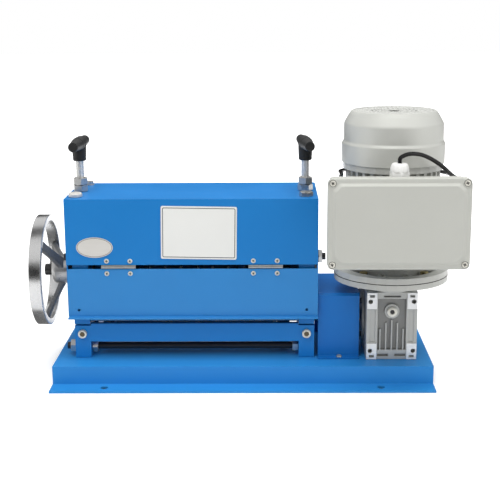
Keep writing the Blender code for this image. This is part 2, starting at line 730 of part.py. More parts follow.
def build_feed_table():
    """The sloping table that leads each wire up to the rollers."""
    front, back = TABLE_Y - TABLE_DEPTH / 2, TABLE_Y + TABLE_DEPTH / 2
    top = TABLE_Z + TABLE_THICKNESS / 2
    piece = block(
        (SPAN_LEFT_X + GAP, front, top - TABLE_THICKNESS), (SPAN_RIGHT_X - GAP, back, top)
    )
    pitch = ROLLER_LENGTH / (BLADE_COUNT + 1)
    half = TABLE_GROOVE_WIDTH / 2
    for i in range(BLADE_COUNT):
        x = ROLLER_LEFT_X + pitch * (i + 1)
        groove = [
            (x - half, top),
            (x, top - TABLE_GROOVE_DEPTH),
            (x + half, top),
            (x + half, top + CUT_OVERRUN),
            (x - half, top + CUT_OVERRUN),
        ]
        cut(piece, prism(groove, "Y", front - CUT_OVERRUN, back + CUT_OVERRUN))
    finish(spun(piece, "X", (TABLE_Y, TABLE_Z), TABLE_SLOPE), "feed_table", STEEL)


# Covers, hinges.
def build_upper_cover():
    """The sheet cover over the head, open below, and the two bolts that hold it."""
    left, right, front, back = COVER_LEFT_X, COVER_RIGHT_X, COVER_FRONT_Y, COVER_BACK_Y
    sheet = COVER_SHEET
    low = COVER_SIDE_LOW_Z - CUT_OVERRUN
    piece = block((left, front, COVER_SIDE_LOW_Z), (right, back, COVER_TOP_Z))
    hand_hole = [
        (AXIS_Y - WHEEL_SLOT_WIDTH / 2, WHEEL_SLOT_LOW_Z),
        (AXIS_Y + WHEEL_SLOT_WIDTH / 2, WHEEL_SLOT_LOW_Z),
        (AXIS_Y + WHEEL_SLOT_WIDTH / 2, WHEEL_SLOT_HIGH_Z),
        (AXIS_Y - WHEEL_SLOT_WIDTH / 2, WHEEL_SLOT_HIGH_Z),
    ]
    cut(
        piece,
        block((left + sheet, front + sheet, low), (right - sheet, back - sheet, COVER_ROOF_Z)),
        block(
            (left - CUT_OVERRUN, front - CUT_OVERRUN, low),
            (right + CUT_OVERRUN, front + sheet + GAP, COVER_FRONT_LOW_Z),
        ),
        block(
            (left + sheet, back - sheet - CUT_OVERRUN, low),
            (right - sheet, back + CUT_OVERRUN, COVER_FRONT_LOW_Z),
        ),
        prism(hand_hole, "X", left - CUT_OVERRUN, left + sheet + CUT_OVERRUN),
        rod_hole("X", (UPPER_ROD_Y, UPPER_ROD_Z), ROD_RADIUS, left - CUT_OVERRUN, right + CUT_OVERRUN),
    )
    for side, centre in SCREW_CENTRES.items():
        low, high = COVER_ROOF_Z - CUT_OVERRUN, COVER_TOP_Z + CUT_OVERRUN
        cut(
            piece,
            rod_hole("Z", (centre, AXIS_Y), SCREW_RADIUS, low, high),
            rod_hole("Z", (centre, COVER_BOLT_Y), COVER_BOLT_SHANK, low, high),
        )
        seat = COVER_TOP_Z + GAP
        bolt = join(
            hexagon("Z", (centre, COVER_BOLT_Y), COVER_BOLT_FLATS, seat, seat + COVER_BOLT_HEAD),
            bar("Z", (centre, COVER_BOLT_Y), COVER_BOLT_SHANK, COVER_ROOF_Z - COVER_BOLT_DEPTH, seat + GAP),
        )
        finish(bolt, side + "_cover_bolt", ZINC)
    finish(piece, "upper_cover", BLUE)


def build_flap():
    """The hinged front flap with its bent lip."""
    front, sheet = COVER_FRONT_Y, COVER_SHEET
    outline = [
        (front, FLAP_TOP_Z),
        (front + sheet, FLAP_TOP_Z),
        (front + sheet, FLAP_LOW_Z),
        (front - FLAP_LIP, FLAP_LOW_Z),
        (front - FLAP_LIP, FLAP_LOW_Z + FLAP_LIP_SHEET),
        (front, FLAP_LOW_Z + FLAP_LIP_SHEET),
    ]
    piece = prism(outline, "X", COVER_LEFT_X + FLAP_INSET, COVER_RIGHT_X)
    for x in (COVER_LEFT_X + FLAP_HOLE_INSET, COVER_RIGHT_X - FLAP_HOLE_INSET):
        at = (x, FLAP_LOW_Z + FLAP_HOLE_RISE)
        cut(piece, bar("Y", at, FLAP_HOLE_RADIUS, front - CUT_OVERRUN, front + sheet + CUT_OVERRUN))
    finish(piece, "front_flap", BLUE, (COVER_X, HINGE_Y, HINGE_Z))


def hinge_leaf(centre, rise, knuckles):
    """One hinge leaf: a plate carried by its knuckles.  The pin is riveted in the upper leaf."""
    low_y = COVER_FRONT_Y + COVER_SHEET + GAP
    high_y = low_y + HINGE_LEAF
    edge = HINGE_Z + rise * (HINGE_HALF_GAP + GAP)
    far = HINGE_Z + rise * HINGE_LEAF_HEIGHT
    half = HINGE_LENGTH / 2
    piece = block((centre - half, low_y, min(edge, far)), (centre + half, high_y, max(edge, far)))
    for start, end in knuckles:
        inside = edge + rise * HINGE_LEAF
        tab = block((start, low_y, min(HINGE_Z, inside)), (end, high_y, max(HINGE_Z, inside)))
        join(piece, tab, bar("X", (HINGE_Y, HINGE_Z), HINGE_KNUCKLE_RADIUS, start, end))
    at = (HINGE_Y, HINGE_Z)
    if rise > 0:
        return join(piece, bar("X", at, HINGE_PIN_RADIUS, centre - half + GAP, centre + half - GAP))
    over = half + CUT_OVERRUN
    return cut(piece, bar("X", at, HINGE_PIN_RADIUS + GAP, centre - over, centre + over))


def build_hinges():
    """Two hinges, each with an upper leaf on the cover and a lower leaf on the flap."""
    half = HINGE_LENGTH / 2
    middle = HINGE_LENGTH * HINGE_MIDDLE_SHARE / 2
    for side, offset in (("left", -HINGE_OFFSET), ("right", HINGE_OFFSET)):
        x = COVER_X + offset
        outer = [(x - half, x - middle - GAP), (x + middle + GAP, x + half)]
        finish(hinge_leaf(x, 1, outer), side + "_hinge_upper_leaf", ZINC)
        lower = hinge_leaf(x, -1, [(x - middle, x + middle)])
        finish(lower, side + "_hinge_lower_leaf", ZINC, (x, HINGE_Y, HINGE_Z))


def build_plates():
    """The blank sign plate and the blank oval plate."""
    back = COVER_FRONT_Y - GAP
    corners = []
    for sx, sz in ((1, 1), (-1, 1), (-1, -1), (1, -1)):
        reach_x, reach_z = SIGN_LENGTH / 2 - SIGN_CORNER, SIGN_HEIGHT / 2 - SIGN_CORNER
        centre = (SIGN_X + sx * reach_x, SIGN_Z + sz * reach_z)
        start = math.atan2(sz, sx) - math.pi / 4
        corners += [
            (centre[0] + SIGN_CORNER * math.cos(a), centre[1] + SIGN_CORNER * math.sin(a))
            for a in (start, start + math.pi / 4, start + math.pi / 2)
        ]
    sign = spun(prism(corners, "Y", back - SIGN_THICKNESS, back), "Y", (SIGN_X, SIGN_Z), SIGN_TILT)
    finish(sign, "sign_plate", WHITE_PLATE)
    oval = [
        (OVAL_X + a * OVAL_LENGTH / 2, OVAL_Z + b * OVAL_HEIGHT / 2) for a, b in circle((0, 0), 1, 36)
    ]
    finish(prism(oval, "Y", back - SIGN_THICKNESS, back), "oval_plate", SILVER_PLATE)


# Rollers.
def gear_outline(centre, teeth, phase):
    """Points of a spur gear whose flanks follow the involute of its base circle."""
    pitch_radius = GEAR_MODULE * teeth / 2
    base_radius = pitch_radius * math.cos(PRESSURE_ANGLE)
    root_radius = pitch_radius - GEAR_MODULE * GEAR_ROOT_SHARE
    tip_radius = pitch_radius + GEAR_MODULE * GEAR_TIP_SHARE
    half_at_pitch = math.pi / (2 * teeth) - GEAR_BACKLASH / (2 * pitch_radius)
    involute = math.tan(PRESSURE_ANGLE) - PRESSURE_ANGLE

    def half_width(radius):
        slope = math.acos(min(1, base_radius / radius))
        return half_at_pitch + involute - (math.tan(slope) - slope)

    flank = [(root_radius, half_width(base_radius))]
    flank += [(radius, half_width(radius)) for radius in (pitch_radius, tip_radius)]
    points = []
    for i in range(teeth):
        middle = phase + 2 * math.pi * i / teeth
        corners = [(radius, middle - half) for radius, half in flank]
        corners += [(radius, middle + half) for radius, half in reversed(flank)]
        for radius, angle in corners:
            points.append((centre[0] + radius * math.cos(angle), centre[1] + radius * math.sin(angle)))
    return points


def build_drive_shaft():
    """The driven shaft, turned in one piece with its knurled roller, its gear and bearings."""
    axis = (AXIS_Y, DRIVE_Z)
    origin = (MOTOR_X, AXIS_Y, DRIVE_Z)
    start = PLATE_OUTER_LEFT_X + SHAFT_END_INSET
    shoulder = BOX_LEFT_X - GAP - SIDE_COVER_PROUD - SHAFT_END_INSET
    end = BOX_RIGHT_X + GAP + SIDE_COVER_PROUD + OUTPUT_END
    profile = [(start, 0), (start, SHAFT_RADIUS), (shoulder, SHAFT_RADIUS)]
    profile += [(shoulder, OUTPUT_RADIUS), (end, OUTPUT_RADIUS), (end, 0)]
    outline = []
    for i in range(2 * KNURL_COUNT):
        angle = math.pi * i / KNURL_COUNT
        radius = ROLLER_RADIUS - (KNURL_DEPTH if i % 2 else 0)
        outline.append((AXIS_Y + radius * math.cos(angle), DRIVE_Z + radius * math.sin(angle)))
    roller = prism(outline, "X", ROLLER_LEFT_X, ROLLER_RIGHT_X)
    finish(join(roller, turned("X", axis, profile, 16)), "drive_shaft", STEEL, origin)

    gear = prism(gear_outline(axis, GEAR_TEETH, math.pi / 2), "X", GEAR_LEFT_X, GEAR_RIGHT_X)
    bore = rod_hole("X", axis, SHAFT_RADIUS, GEAR_LEFT_X - CUT_OVERRUN, GEAR_RIGHT_X + CUT_OVERRUN)
    finish(cut(gear, bore), "drive_gear", STEEL, origin)

    for side, centre in PLATE_CENTRES.items():
        low, high = centre - BEARING_WIDTH / 2, centre + BEARING_WIDTH / 2
        ring = bar("X", axis, BEARING_RADIUS, low, high)
        cut(ring, rod_hole("X", axis, SHAFT_RADIUS, low - CUT_OVERRUN, high + CUT_OVERRUN))
        finish(ring, side + "_drive_bearing", STEEL)


def build_blade_shaft():
    """The upper shaft with its blade roller and gear."""
    axis = (AXIS_Y, BLADE_Z)
    origin = (HEAD_X, AXIS_Y, BLADE_Z)
    shoulder = PLATE_OUTER_LEFT_X - BLADE_SHAFT_SHOULDER
    end = PLATE_OUTER_RIGHT_X - SHAFT_END_INSET
    profile = [
        (SHAFT_STUB_X, 0),
        (SHAFT_STUB_X, SHAFT_STUB_RADIUS),
        (WHEEL_HUB_LEFT_X, SHAFT_STUB_RADIUS),
        (WHEEL_HUB_LEFT_X, WHEEL_SEAT_RADIUS),
        (shoulder, WHEEL_SEAT_RADIUS),
        (shoulder, SHAFT_RADIUS),
        (end, SHAFT_RADIUS),
        (end, 0),
    ]
    finish(turned("X", axis, profile, 16), "blade_shaft", STEEL, origin)

    bore = SHAFT_RADIUS + GAP
    pitch = ROLLER_LENGTH / (BLADE_COUNT + 1)
    profile = [(ROLLER_LEFT_X, bore), (ROLLER_LEFT_X, BLADE_SPACER_RADIUS)]
    for i in range(BLADE_COUNT):
        x = ROLLER_LEFT_X + pitch * (i + 1)
        profile += [
            (x - BLADE_THICKNESS / 2, BLADE_SPACER_RADIUS),
            (x, BLADE_RADIUS),
            (x + BLADE_THICKNESS / 2, BLADE_SPACER_RADIUS),
        ]
    profile += [(ROLLER_RIGHT_X, BLADE_SPACER_RADIUS), (ROLLER_RIGHT_X, bore)]
    finish(turned("X", axis, profile, 18), "blade_roller", STEEL, origin)

    phase = math.pi / GEAR_TEETH - math.pi / 2
    gear = prism(gear_outline(axis, GEAR_TEETH, phase), "X", GEAR_LEFT_X, GEAR_RIGHT_X)
    hole = rod_hole("X", axis, SHAFT_RADIUS, GEAR_LEFT_X - CUT_OVERRUN, GEAR_RIGHT_X + CUT_OVERRUN)
    finish(cut(gear, hole), "blade_gear", STEEL, origin)


def build_handwheel():
    """The spoked wheel that turns the blade shaft by hand."""
    axis = (AXIS_Y, BLADE_Z)
    inner = WHEEL_RADIUS - RIM_THICKNESS
    left, right = RIM_LEFT_X, RIM_LEFT_X + RIM_WIDTH
    soft = RIM_ROUNDING
    rim = [
        (left, inner + soft),
        (left, WHEEL_RADIUS - soft),
        (left + soft, WHEEL_RADIUS),
        (right - soft, WHEEL_RADIUS),
        (right, WHEEL_RADIUS - soft),
        (right, inner + soft),
        (right - soft, inner),
        (left + soft, inner),
    ]
    piece = turned("X", axis, rim, 40)
    hub_middle = (WHEEL_HUB_LEFT_X + WHEEL_HUB_RIGHT_X) / 2
    hub_start = WHEEL_HUB_RADIUS - RIM_ROUNDING
    rim_middle = (left + right) / 2
    reach = inner + RIM_ROUNDING
    half = WHEEL_SPOKE_THICKNESS / 2
    outline = [
        (hub_middle - half, hub_start),
        (rim_middle - half, reach),
        (rim_middle + half, reach),
        (hub_middle + half, hub_start),
    ]
    hub = bar("X", axis, WHEEL_HUB_RADIUS, WHEEL_HUB_LEFT_X, WHEEL_HUB_RIGHT_X)
    for i in range(WHEEL_SPOKES):
        angle = WHEEL_SPOKE_START + 2 * math.pi * i / WHEEL_SPOKES
        spoke = prism(
            [(x, AXIS_Y - radius) for x, radius in outline],
            "Z",
            BLADE_Z - WHEEL_SPOKE_WIDTH / 2,
            BLADE_Z + WHEEL_SPOKE_WIDTH / 2,
        )
        join(hub, spun(spoke, "X", axis, -angle))
    join(piece, hub)
    cut(
        piece,
        rod_hole(
            "X", axis, WHEEL_SEAT_RADIUS, WHEEL_HUB_LEFT_X - CUT_OVERRUN, WHEEL_HUB_RIGHT_X + CUT_OVERRUN
        ),
    )
    finish(piece, "handwheel", POLISHED, (HEAD_X, AXIS_Y, BLADE_Z))


# Blocks and adjusters.
def build_block(side):
    """A bronze block that slides in the side plate's window and carries the blade shaft."""
    centre = PLATE_CENTRES[side]
    low, high = centre - PLATE_THICKNESS / 2, centre + PLATE_THICKNESS / 2
    top = BLADE_Z + BLOCK_HEIGHT / 2
    piece = block(
        (low, AXIS_Y - BLOCK_DEPTH / 2, BLADE_Z - BLOCK_HEIGHT / 2),
        (high, AXIS_Y + BLOCK_DEPTH / 2, top),
    )
    cut(
        piece,
        rod_hole("X", (AXIS_Y, BLADE_Z), SHAFT_RADIUS, low - CUT_OVERRUN, high + CUT_OVERRUN),
        rod_hole("Z", (SCREW_CENTRES[side], AXIS_Y), SCREW_RADIUS, top - BLOCK_POCKET, top + CUT_OVERRUN),
    )
    finish(piece, side + "_bearing_block", BRONZE, (centre, AXIS_Y, BLADE_Z))


def build_adjuster(side):
    """A pressure screw, its two lock nuts and its handle."""
    centre = (SCREW_CENTRES[side], AXIS_Y)
    origin = (*centre, BLADE_Z)
    low = BLADE_Z + BLOCK_HEIGHT / 2 - BLOCK_POCKET + GAP
    screw = bar("Z", centre, SCREW_RADIUS, low, SCREW_TOP_Z)
    finish(screw, side + "_pressure_screw", STEEL, origin)

    seat = COVER_TOP_Z + GAP
    for place in ("lower", "upper"):
        name = side + "_" + place + "_lock_nut"
        nut(name, "Z", centre, COVER_NUT_FLATS, SCREW_RADIUS, seat, seat + COVER_NUT_HEIGHT)
        seat += COVER_NUT_HEIGHT + GAP

    top = HANDLE_LOW_Z + HANDLE_BODY_HEIGHT
    profile = [
        (HANDLE_LOW_Z, 0),
        (HANDLE_LOW_Z, HANDLE_BODY_RADIUS - HANDLE_BODY_CHAMFER),
        (HANDLE_LOW_Z + HANDLE_BODY_CHAMFER, HANDLE_BODY_RADIUS),
        (top - HANDLE_CROWN, HANDLE_BODY_RADIUS),
        (top, HANDLE_BODY_RADIUS - HANDLE_CROWN),
        (top, 0),
    ]
    body = turned("Z", centre, profile, 18)
    half = HANDLE_BAR_LENGTH / 2
    middle = half * HANDLE_BAR_MIDDLE_SHARE
    profile = [(-half, 0), (-half, HANDLE_BAR_END_RADIUS - HANDLE_BAR_CHAMFER)]
    profile += [(HANDLE_BAR_CHAMFER - half, HANDLE_BAR_END_RADIUS), (-middle, HANDLE_BAR_RADIUS)]
    profile += [(-at, radius) for at, radius in reversed(profile)]
    cross = turned(
        "Y",
        (centre[0], HANDLE_LOW_Z + HANDLE_BAR_RISE),
        [(AXIS_Y + at, radius) for at, radius in profile],
        18,
    )
    handle = join(body, spun(cross, "Z", centre, HANDLE_TURNS[side]))
    cut(handle, rod_hole("Z", centre, SCREW_RADIUS, HANDLE_LOW_Z - CUT_OVERRUN, SCREW_TOP_Z + GAP))
    finish(handle, side + "_t_handle", BLACK_PLASTIC, origin)


# Drive train.
def build_guard():
    """The bent cover over the shaft between the head and the gearbox."""
    left, right = GUARD_LEFT_X, GUARD_RIGHT_X
    front, back = GUARD_FRONT_Y, GUARD_FRONT_Y + GUARD_DEPTH
    low, sheet = BASE_HEIGHT + GAP, GUARD_SHEET
    outline = [
        (front - GUARD_FOOT, low),
        (front + sheet, low),
        (front + sheet, GUARD_TOP_Z - sheet),
        (back - sheet, GUARD_TOP_Z - sheet),
        (back - sheet, low),
        (back + GUARD_FOOT, low),
        (back + GUARD_FOOT, low + sheet),
        (back, low + sheet),
        (back, GUARD_TOP_Z - GUARD_BEND),
        (back - GUARD_BEND, GUARD_TOP_Z),
        (front + GUARD_BEND, GUARD_TOP_Z),
        (front, GUARD_TOP_Z - GUARD_BEND),
        (front, low + sheet),
        (front - GUARD_FOOT, low + sheet),
    ]
    finish(prism(outline, "X", left, right), "drive_guard", BLUE)


def build_gearbox():
    """The worm gearbox: housing, plug, side covers and worm wheel."""
    left, right, front = BOX_LEFT_X, BOX_RIGHT_X, BOX_FRONT_Y
    outline = [
        (left, front),
        (right, front),
        (right, BOX_BACK_Y - BOX_BACK_CHAMFER),
        (right - BOX_BACK_CHAMFER, BOX_BACK_Y),
        (left + BOX_BACK_CHAMFER, BOX_BACK_Y),
        (left, BOX_BACK_Y - BOX_BACK_CHAMFER),
    ]
    piece = prism(outline, "Z", BOX_LOW_Z, BOX_TOP_Z)
    over = CUT_OVERRUN
    for x0, inward in ((left, 1), (right, -1)):
        for z0, upward in ((BOX_LOW_Z, 1), (BOX_TOP_Z, -1)):
            xs = sorted((x0 + inward * GAP, x0 + inward * PAD_WIDTH))
            zs = sorted((z0 + upward * GAP, z0 + upward * PAD_HEIGHT))
            join(piece, block((xs[0], front - PAD_PROUD, zs[0]), (xs[1], front + over, zs[1])))
            at = (x0 + inward * PAD_HOLE_FROM_EDGE, z0 + upward * PAD_HOLE_FROM_END)
            cut(piece, bar("Y", at, PAD_HOLE_RADIUS, front - PAD_PROUD - over, front + PAD_HOLE_DEPTH))
            x, z = x0 + inward * PAD_SLOT_FROM_EDGE, z0 + upward * PAD_SLOT_FROM_END
            half_x, half_z = PAD_SLOT_WIDTH / 2, PAD_SLOT_HEIGHT / 2
            slot_low = (x - half_x, front - PAD_PROUD - over, z - half_z)
            cut(piece, block(slot_low, (x + half_x, front + PAD_PROUD, z + half_z)))
        xs = sorted((x0 + inward * GROOVE_FROM_EDGE, x0 + inward * (GROOVE_FROM_EDGE + GROOVE_WIDTH)))
        groove_low = (xs[0], front - over, BOX_LOW_Z + PAD_HEIGHT + GROOVE_FROM_PAD)
        groove_high = (xs[1], front + GROOVE_DEPTH, BOX_TOP_Z - PAD_HEIGHT - GROOVE_FROM_PAD)
        cut(piece, block(groove_low, groove_high))
        xs = sorted(MOTOR_X - inward * x for x in (FOOT_SLOT_FROM_MIDDLE, RECESS_WIDTH / 2))
        slot_low = (xs[0], front - over, BOX_LOW_Z + FOOT_SLOT_RISE)
        slot_high = (xs[1], front + SLOT_DEPTH, BOX_LOW_Z + FOOT_SLOT_RISE + PAD_SLOT_HEIGHT)
        cut(piece, block(slot_low, slot_high))
    slot_low = (MOTOR_X - HEAD_SLOT_WIDTH / 2, front - over, BOX_TOP_Z - HEAD_SLOT_DROP - HEAD_SLOT_HEIGHT)
    slot_high = (MOTOR_X + HEAD_SLOT_WIDTH / 2, front + SLOT_DEPTH, BOX_TOP_Z - HEAD_SLOT_DROP)
    cut(piece, block(slot_low, slot_high))
    recess_low = (MOTOR_X - RECESS_WIDTH / 2, front - over, RECESS_LOW_Z)
    recess_high = (MOTOR_X + RECESS_WIDTH / 2, front + RECESS_DEPTH, RECESS_HIGH_Z)
    cut(
        piece,
        block(recess_low, recess_high),
        bar("X", (AXIS_Y, DRIVE_Z), WHEEL_CAVITY_RADIUS, left - over, right + over),
        bar("Z", (MOTOR_X, MOTOR_Y), WORM_CAVITY_RADIUS, WORM_CAVITY_LOW_Z, BOX_TOP_Z + over),
    )
    for i in range(FIN_COUNT):
        place = i - (FIN_COUNT - 1) / 2
        x, top = MOTOR_X + place * FIN_PITCH, FIN_HIGH_Z - FIN_DROP * abs(place) ** FIN_DROP_POWER
        fin_low = (x - FIN_THICKNESS / 2, front + GAP, RECESS_LOW_Z - over)
        join(piece, block(fin_low, (x + FIN_THICKNESS / 2, front + RECESS_DEPTH + over, top)))
    boss_face = front + GAP
    join(piece, bar("Y", (MOTOR_X, PLUG_Z), PLUG_BOSS_RADIUS, boss_face, front + RECESS_DEPTH + over))
    cut(piece, rod_hole("Y", (MOTOR_X, PLUG_Z), PLUG_SHANK_RADIUS, front - over, front + PLUG_SHANK))
    finish(piece, "gearbox_housing", CAST_GREY)

    seat = boss_face - GAP
    plug = join(
        bar("Y", (MOTOR_X, PLUG_Z), PLUG_RADIUS, seat - PLUG_HEAD, seat),
        bar("Y", (MOTOR_X, PLUG_Z), PLUG_SHANK_RADIUS, seat - PLUG_HEAD / 2, front + PLUG_SHANK - GAP),
    )
    socket = circle((MOTOR_X, PLUG_Z), PLUG_SOCKET_RADIUS, 6)
    cut(plug, prism(socket, "Y", seat - PLUG_HEAD - over, seat - PLUG_HEAD / 2))
    finish(plug, "gearbox_plug", ZINC)

    for side, face, out in (("left", left, -1), ("right", right, 1)):
        axis = (AXIS_Y, DRIVE_Z)
        start = face + out * GAP
        far = start + out * SIDE_COVER_PROUD
        deep = face - out * SIDE_COVER_PLUG
        profile = [
            (deep, WHEEL_SLEEVE_RADIUS + GAP),
            (deep, WHEEL_CAVITY_RADIUS - GAP),
            (start, WHEEL_CAVITY_RADIUS - GAP),
            (start, SIDE_COVER_RADIUS),
            (far, SIDE_COVER_RADIUS),
            (far, WHEEL_SLEEVE_RADIUS + GAP),
        ]
        finish(turned("X", axis, profile, 28), "gearbox_" + side + "_cover", CAST_GREY)

    axis = (AXIS_Y, DRIVE_Z)
    low = left - GAP - SIDE_COVER_PROUD
    high = right + GAP + SIDE_COVER_PROUD
    outline = []
    for i in range(WORM_WHEEL_TEETH):
        step = 2 * math.pi / WORM_WHEEL_TEETH
        for share, radius in ((0, 0), (TOOTH_TOP_SHARE, 0), (TOOTH_ROOT_SHARE, WORM_WHEEL_TOOTH)):
            angle = step * (i + share)
            size = WORM_WHEEL_RADIUS - radius
            outline.append((AXIS_Y + size * math.cos(angle), DRIVE_Z + size * math.sin(angle)))
    half = WORM_WHEEL_WIDTH / 2
    wheel = join(
        prism(outline, "X", MOTOR_X - half, MOTOR_X + half),
        bar("X", axis, WHEEL_SLEEVE_RADIUS, low, high),
    )
    cut(wheel, rod_hole("X", axis, OUTPUT_RADIUS, low - over, high + over))
    finish(wheel, "worm_wheel", BRONZE, (MOTOR_X, AXIS_Y, DRIVE_Z))


# Motor.
def build_flanges():
    """The gearbox's input flange and the motor's ribbed flange on it."""
    axis = (MOTOR_X, MOTOR_Y)
    profile = [
        (NECK_LOW_Z, WORM_CAVITY_RADIUS),
        (NECK_LOW_Z, NECK_RADIUS),
        (INPUT_FLANGE_LOW_Z, NECK_RADIUS),
        (INPUT_FLANGE_LOW_Z, FLANGE_RADIUS),
        (FLANGE_JOINT_Z, FLANGE_RADIUS),
        (FLANGE_JOINT_Z, WORM_CAVITY_RADIUS),
    ]
    finish(turned("Z", axis, profile, 36), "gearbox_input_flange", MOTOR_GREY)

    low, floor = MOTOR_FLANGE_LOW_Z, MOTOR_FLANGE_LOW_Z + FLANGE_FLOOR
    ring = FLANGE_RADIUS - FLANGE_RING_WIDTH
    bore = ROTOR_SHAFT_RADIUS + GAP
    profile = [
        (low, bore),
        (low, FLANGE_RADIUS),
        (FLANGE_RING_TOP_Z, FLANGE_RADIUS),
        (FLANGE_RING_TOP_Z, ring),
        (floor, ring),
        (floor, FLANGE_BOSS_RADIUS),
        (FLANGE_BOSS_TOP_Z, FLANGE_BOSS_RADIUS),
        (FLANGE_BOSS_TOP_Z, bore),
    ]
    piece = turned("Z", axis, profile, 36)
    for i in range(FLANGE_RIBS):
        half = FLANGE_RIB_THICKNESS / 2
        rib = block(
            (MOTOR_X + FLANGE_BOSS_RADIUS - half, MOTOR_Y - half, floor - GAP),
            (MOTOR_X + ring + half, MOTOR_Y + half, FLANGE_RING_TOP_Z - FLANGE_RIB_DROP),
        )
        join(piece, spun(rib, "Z", axis, 2 * math.pi * (i + FLANGE_RIB_SHARE) / FLANGE_RIBS))
    finish(piece, "motor_flange", MOTOR_GREY)


def build_motor_body():
    """The finned motor body with its head ring and terminal pad."""
    axis = (MOTOR_X, MOTOR_Y)
    step = 2 * math.pi / BODY_FINS
    outline = []
    for i in range(BODY_FINS):
        for share, radius in (
            (0, BODY_FIN_RADIUS),
            (BODY_FIN_SHARE, BODY_FIN_RADIUS),
            (BODY_FIN_SHARE, BODY_CORE_RADIUS),
            (1, BODY_CORE_RADIUS),
        ):
            angle = step * (i + share)
            outline.append((MOTOR_X + radius * math.cos(angle), MOTOR_Y + radius * math.sin(angle)))
    piece = prism(outline, "Z", BODY_LOW_Z, BODY_HEAD_LOW_Z + CUT_OVERRUN)
    head = COVER_BAND_RADIUS - FAN_COVER_SHEET - GAP
    half = TERMINAL_PAD_WIDTH / 2
    join(
        piece,
        bar("Z", axis, head, BODY_HEAD_LOW_Z, BODY_HEAD_HIGH_Z),
        block(
            (MOTOR_X - half, TERMINAL_PAD_Y, TERMINAL_PAD_LOW_Z),
            (MOTOR_X + half, MOTOR_Y - BODY_BORE - TERMINAL_BASE_WALL, TERMINAL_PAD_HIGH_Z),
        ),
    )
    cut(
        piece,
        bar("Z", axis, BODY_BORE, BODY_LOW_Z - CUT_OVERRUN, BODY_HEAD_HIGH_Z - BODY_CAP),
        rod_hole("Z", axis, MOTOR_SHAFT_RADIUS, BODY_HEAD_LOW_Z, BODY_HEAD_HIGH_Z + CUT_OVERRUN),
    )
    finish(piece, "motor_body", MOTOR_GREY)


def build_fan_cover():
    """The two-step fan cover and the slotted grille in its crown."""
    axis = (MOTOR_X, MOTOR_Y)
    sheet = FAN_COVER_SHEET
    profile = [
        (COVER_BAND_LOW_Z, COVER_BAND_RADIUS),
        (COVER_BAND_HIGH_Z, COVER_BAND_RADIUS),
        (COVER_BAND_HIGH_Z, COVER_UPPER_RADIUS),
        (COVER_SHOULDER_Z, COVER_UPPER_RADIUS),
        (COVER_CROWN_Z, COVER_CROWN_RADIUS),
        (COVER_CROWN_Z, GRILLE_RADIUS + GAP),
        (COVER_CROWN_Z - sheet, GRILLE_RADIUS + GAP),
        (COVER_CROWN_Z - sheet, COVER_CROWN_RADIUS - sheet),
        (COVER_SHOULDER_Z, COVER_UPPER_RADIUS - sheet),
        (COVER_BAND_HIGH_Z - sheet, COVER_UPPER_RADIUS - sheet),
        (COVER_BAND_HIGH_Z - sheet, COVER_BAND_RADIUS - sheet),
        (COVER_BAND_LOW_Z, COVER_BAND_RADIUS - sheet),
    ]
    finish(turned("Z", axis, profile, 36), "fan_cover", MOTOR_GREY)
    grille = prism(circle(axis, GRILLE_RADIUS, 36), "Z", COVER_CROWN_Z - sheet, COVER_CROWN_Z)
    half = GRILLE_SLOT_WIDTH / 2
    for i in range(GRILLE_SLOTS):
        slot = block(
            (MOTOR_X + GRILLE_INNER_RADIUS, MOTOR_Y - half, COVER_CROWN_Z - sheet - CUT_OVERRUN),
            (MOTOR_X + GRILLE_OUTER_RADIUS, MOTOR_Y + half, COVER_CROWN_Z + CUT_OVERRUN),
        )
        cut(grille, spun(slot, "Z", axis, 2 * math.pi * i / GRILLE_SLOTS))
    finish(grille, "fan_cover_grille", MOTOR_GREY)


def build_rotor():
    """The motor's rotor with its worm, and the cooling fan."""
    axis = (MOTOR_X, MOTOR_Y)
    origin = (MOTOR_X, MOTOR_Y, DRIVE_Z)
    low = DRIVE_Z - WORM_LENGTH / 2
    high = DRIVE_Z + WORM_LENGTH / 2
    root = WORM_RADIUS - WORM_THREAD
    profile = [(low, 0), (low, root)]
    turns = int(WORM_LENGTH / WORM_PITCH)
    quarter = WORM_PITCH / 4
    for i in range(turns):
        z = low + i * WORM_PITCH
        profile += [(z + quarter, root), (z + quarter + quarter / 2, WORM_RADIUS)]
        profile += [(z + 3 * quarter, WORM_RADIUS), (z + 3 * quarter + quarter / 2, root)]
    profile += [
        (high, root),
        (high, ROTOR_SHAFT_RADIUS),
        (ROTOR_LOW_Z, ROTOR_SHAFT_RADIUS),
        (ROTOR_LOW_Z, ROTOR_RADIUS),
        (ROTOR_HIGH_Z, ROTOR_RADIUS),
        (ROTOR_HIGH_Z, MOTOR_SHAFT_RADIUS),
        (ROTOR_TOP_Z, MOTOR_SHAFT_RADIUS),
        (ROTOR_TOP_Z, 0),
    ]
    finish(turned("Z", axis, profile, 12), "motor_rotor", STEEL, origin)

    hub = bar("Z", axis, FAN_HUB_RADIUS, FAN_LOW_Z, FAN_HIGH_Z)
    join(hub, bar("Z", axis, FAN_RADIUS * FAN_DISC_SHARE, FAN_LOW_Z, FAN_LOW_Z + FAN_DISC))
    half = FAN_BLADE_THICKNESS / 2
    for i in range(FAN_BLADES):
        blade = block(
            (MOTOR_X + FAN_HUB_RADIUS - FAN_DISC, MOTOR_Y - half, FAN_LOW_Z + FAN_DISC / 2),
            (MOTOR_X + FAN_RADIUS, MOTOR_Y + half, FAN_HIGH_Z - FAN_DISC),
        )
        join(hub, spun(blade, "Z", axis, 2 * math.pi * i / FAN_BLADES))
    cut(hub, rod_hole("Z", axis, MOTOR_SHAFT_RADIUS, FAN_LOW_Z - CUT_OVERRUN, FAN_HIGH_Z + CUT_OVERRUN))
    finish(hub, "cooling_fan", BLACK_PLASTIC, origin)


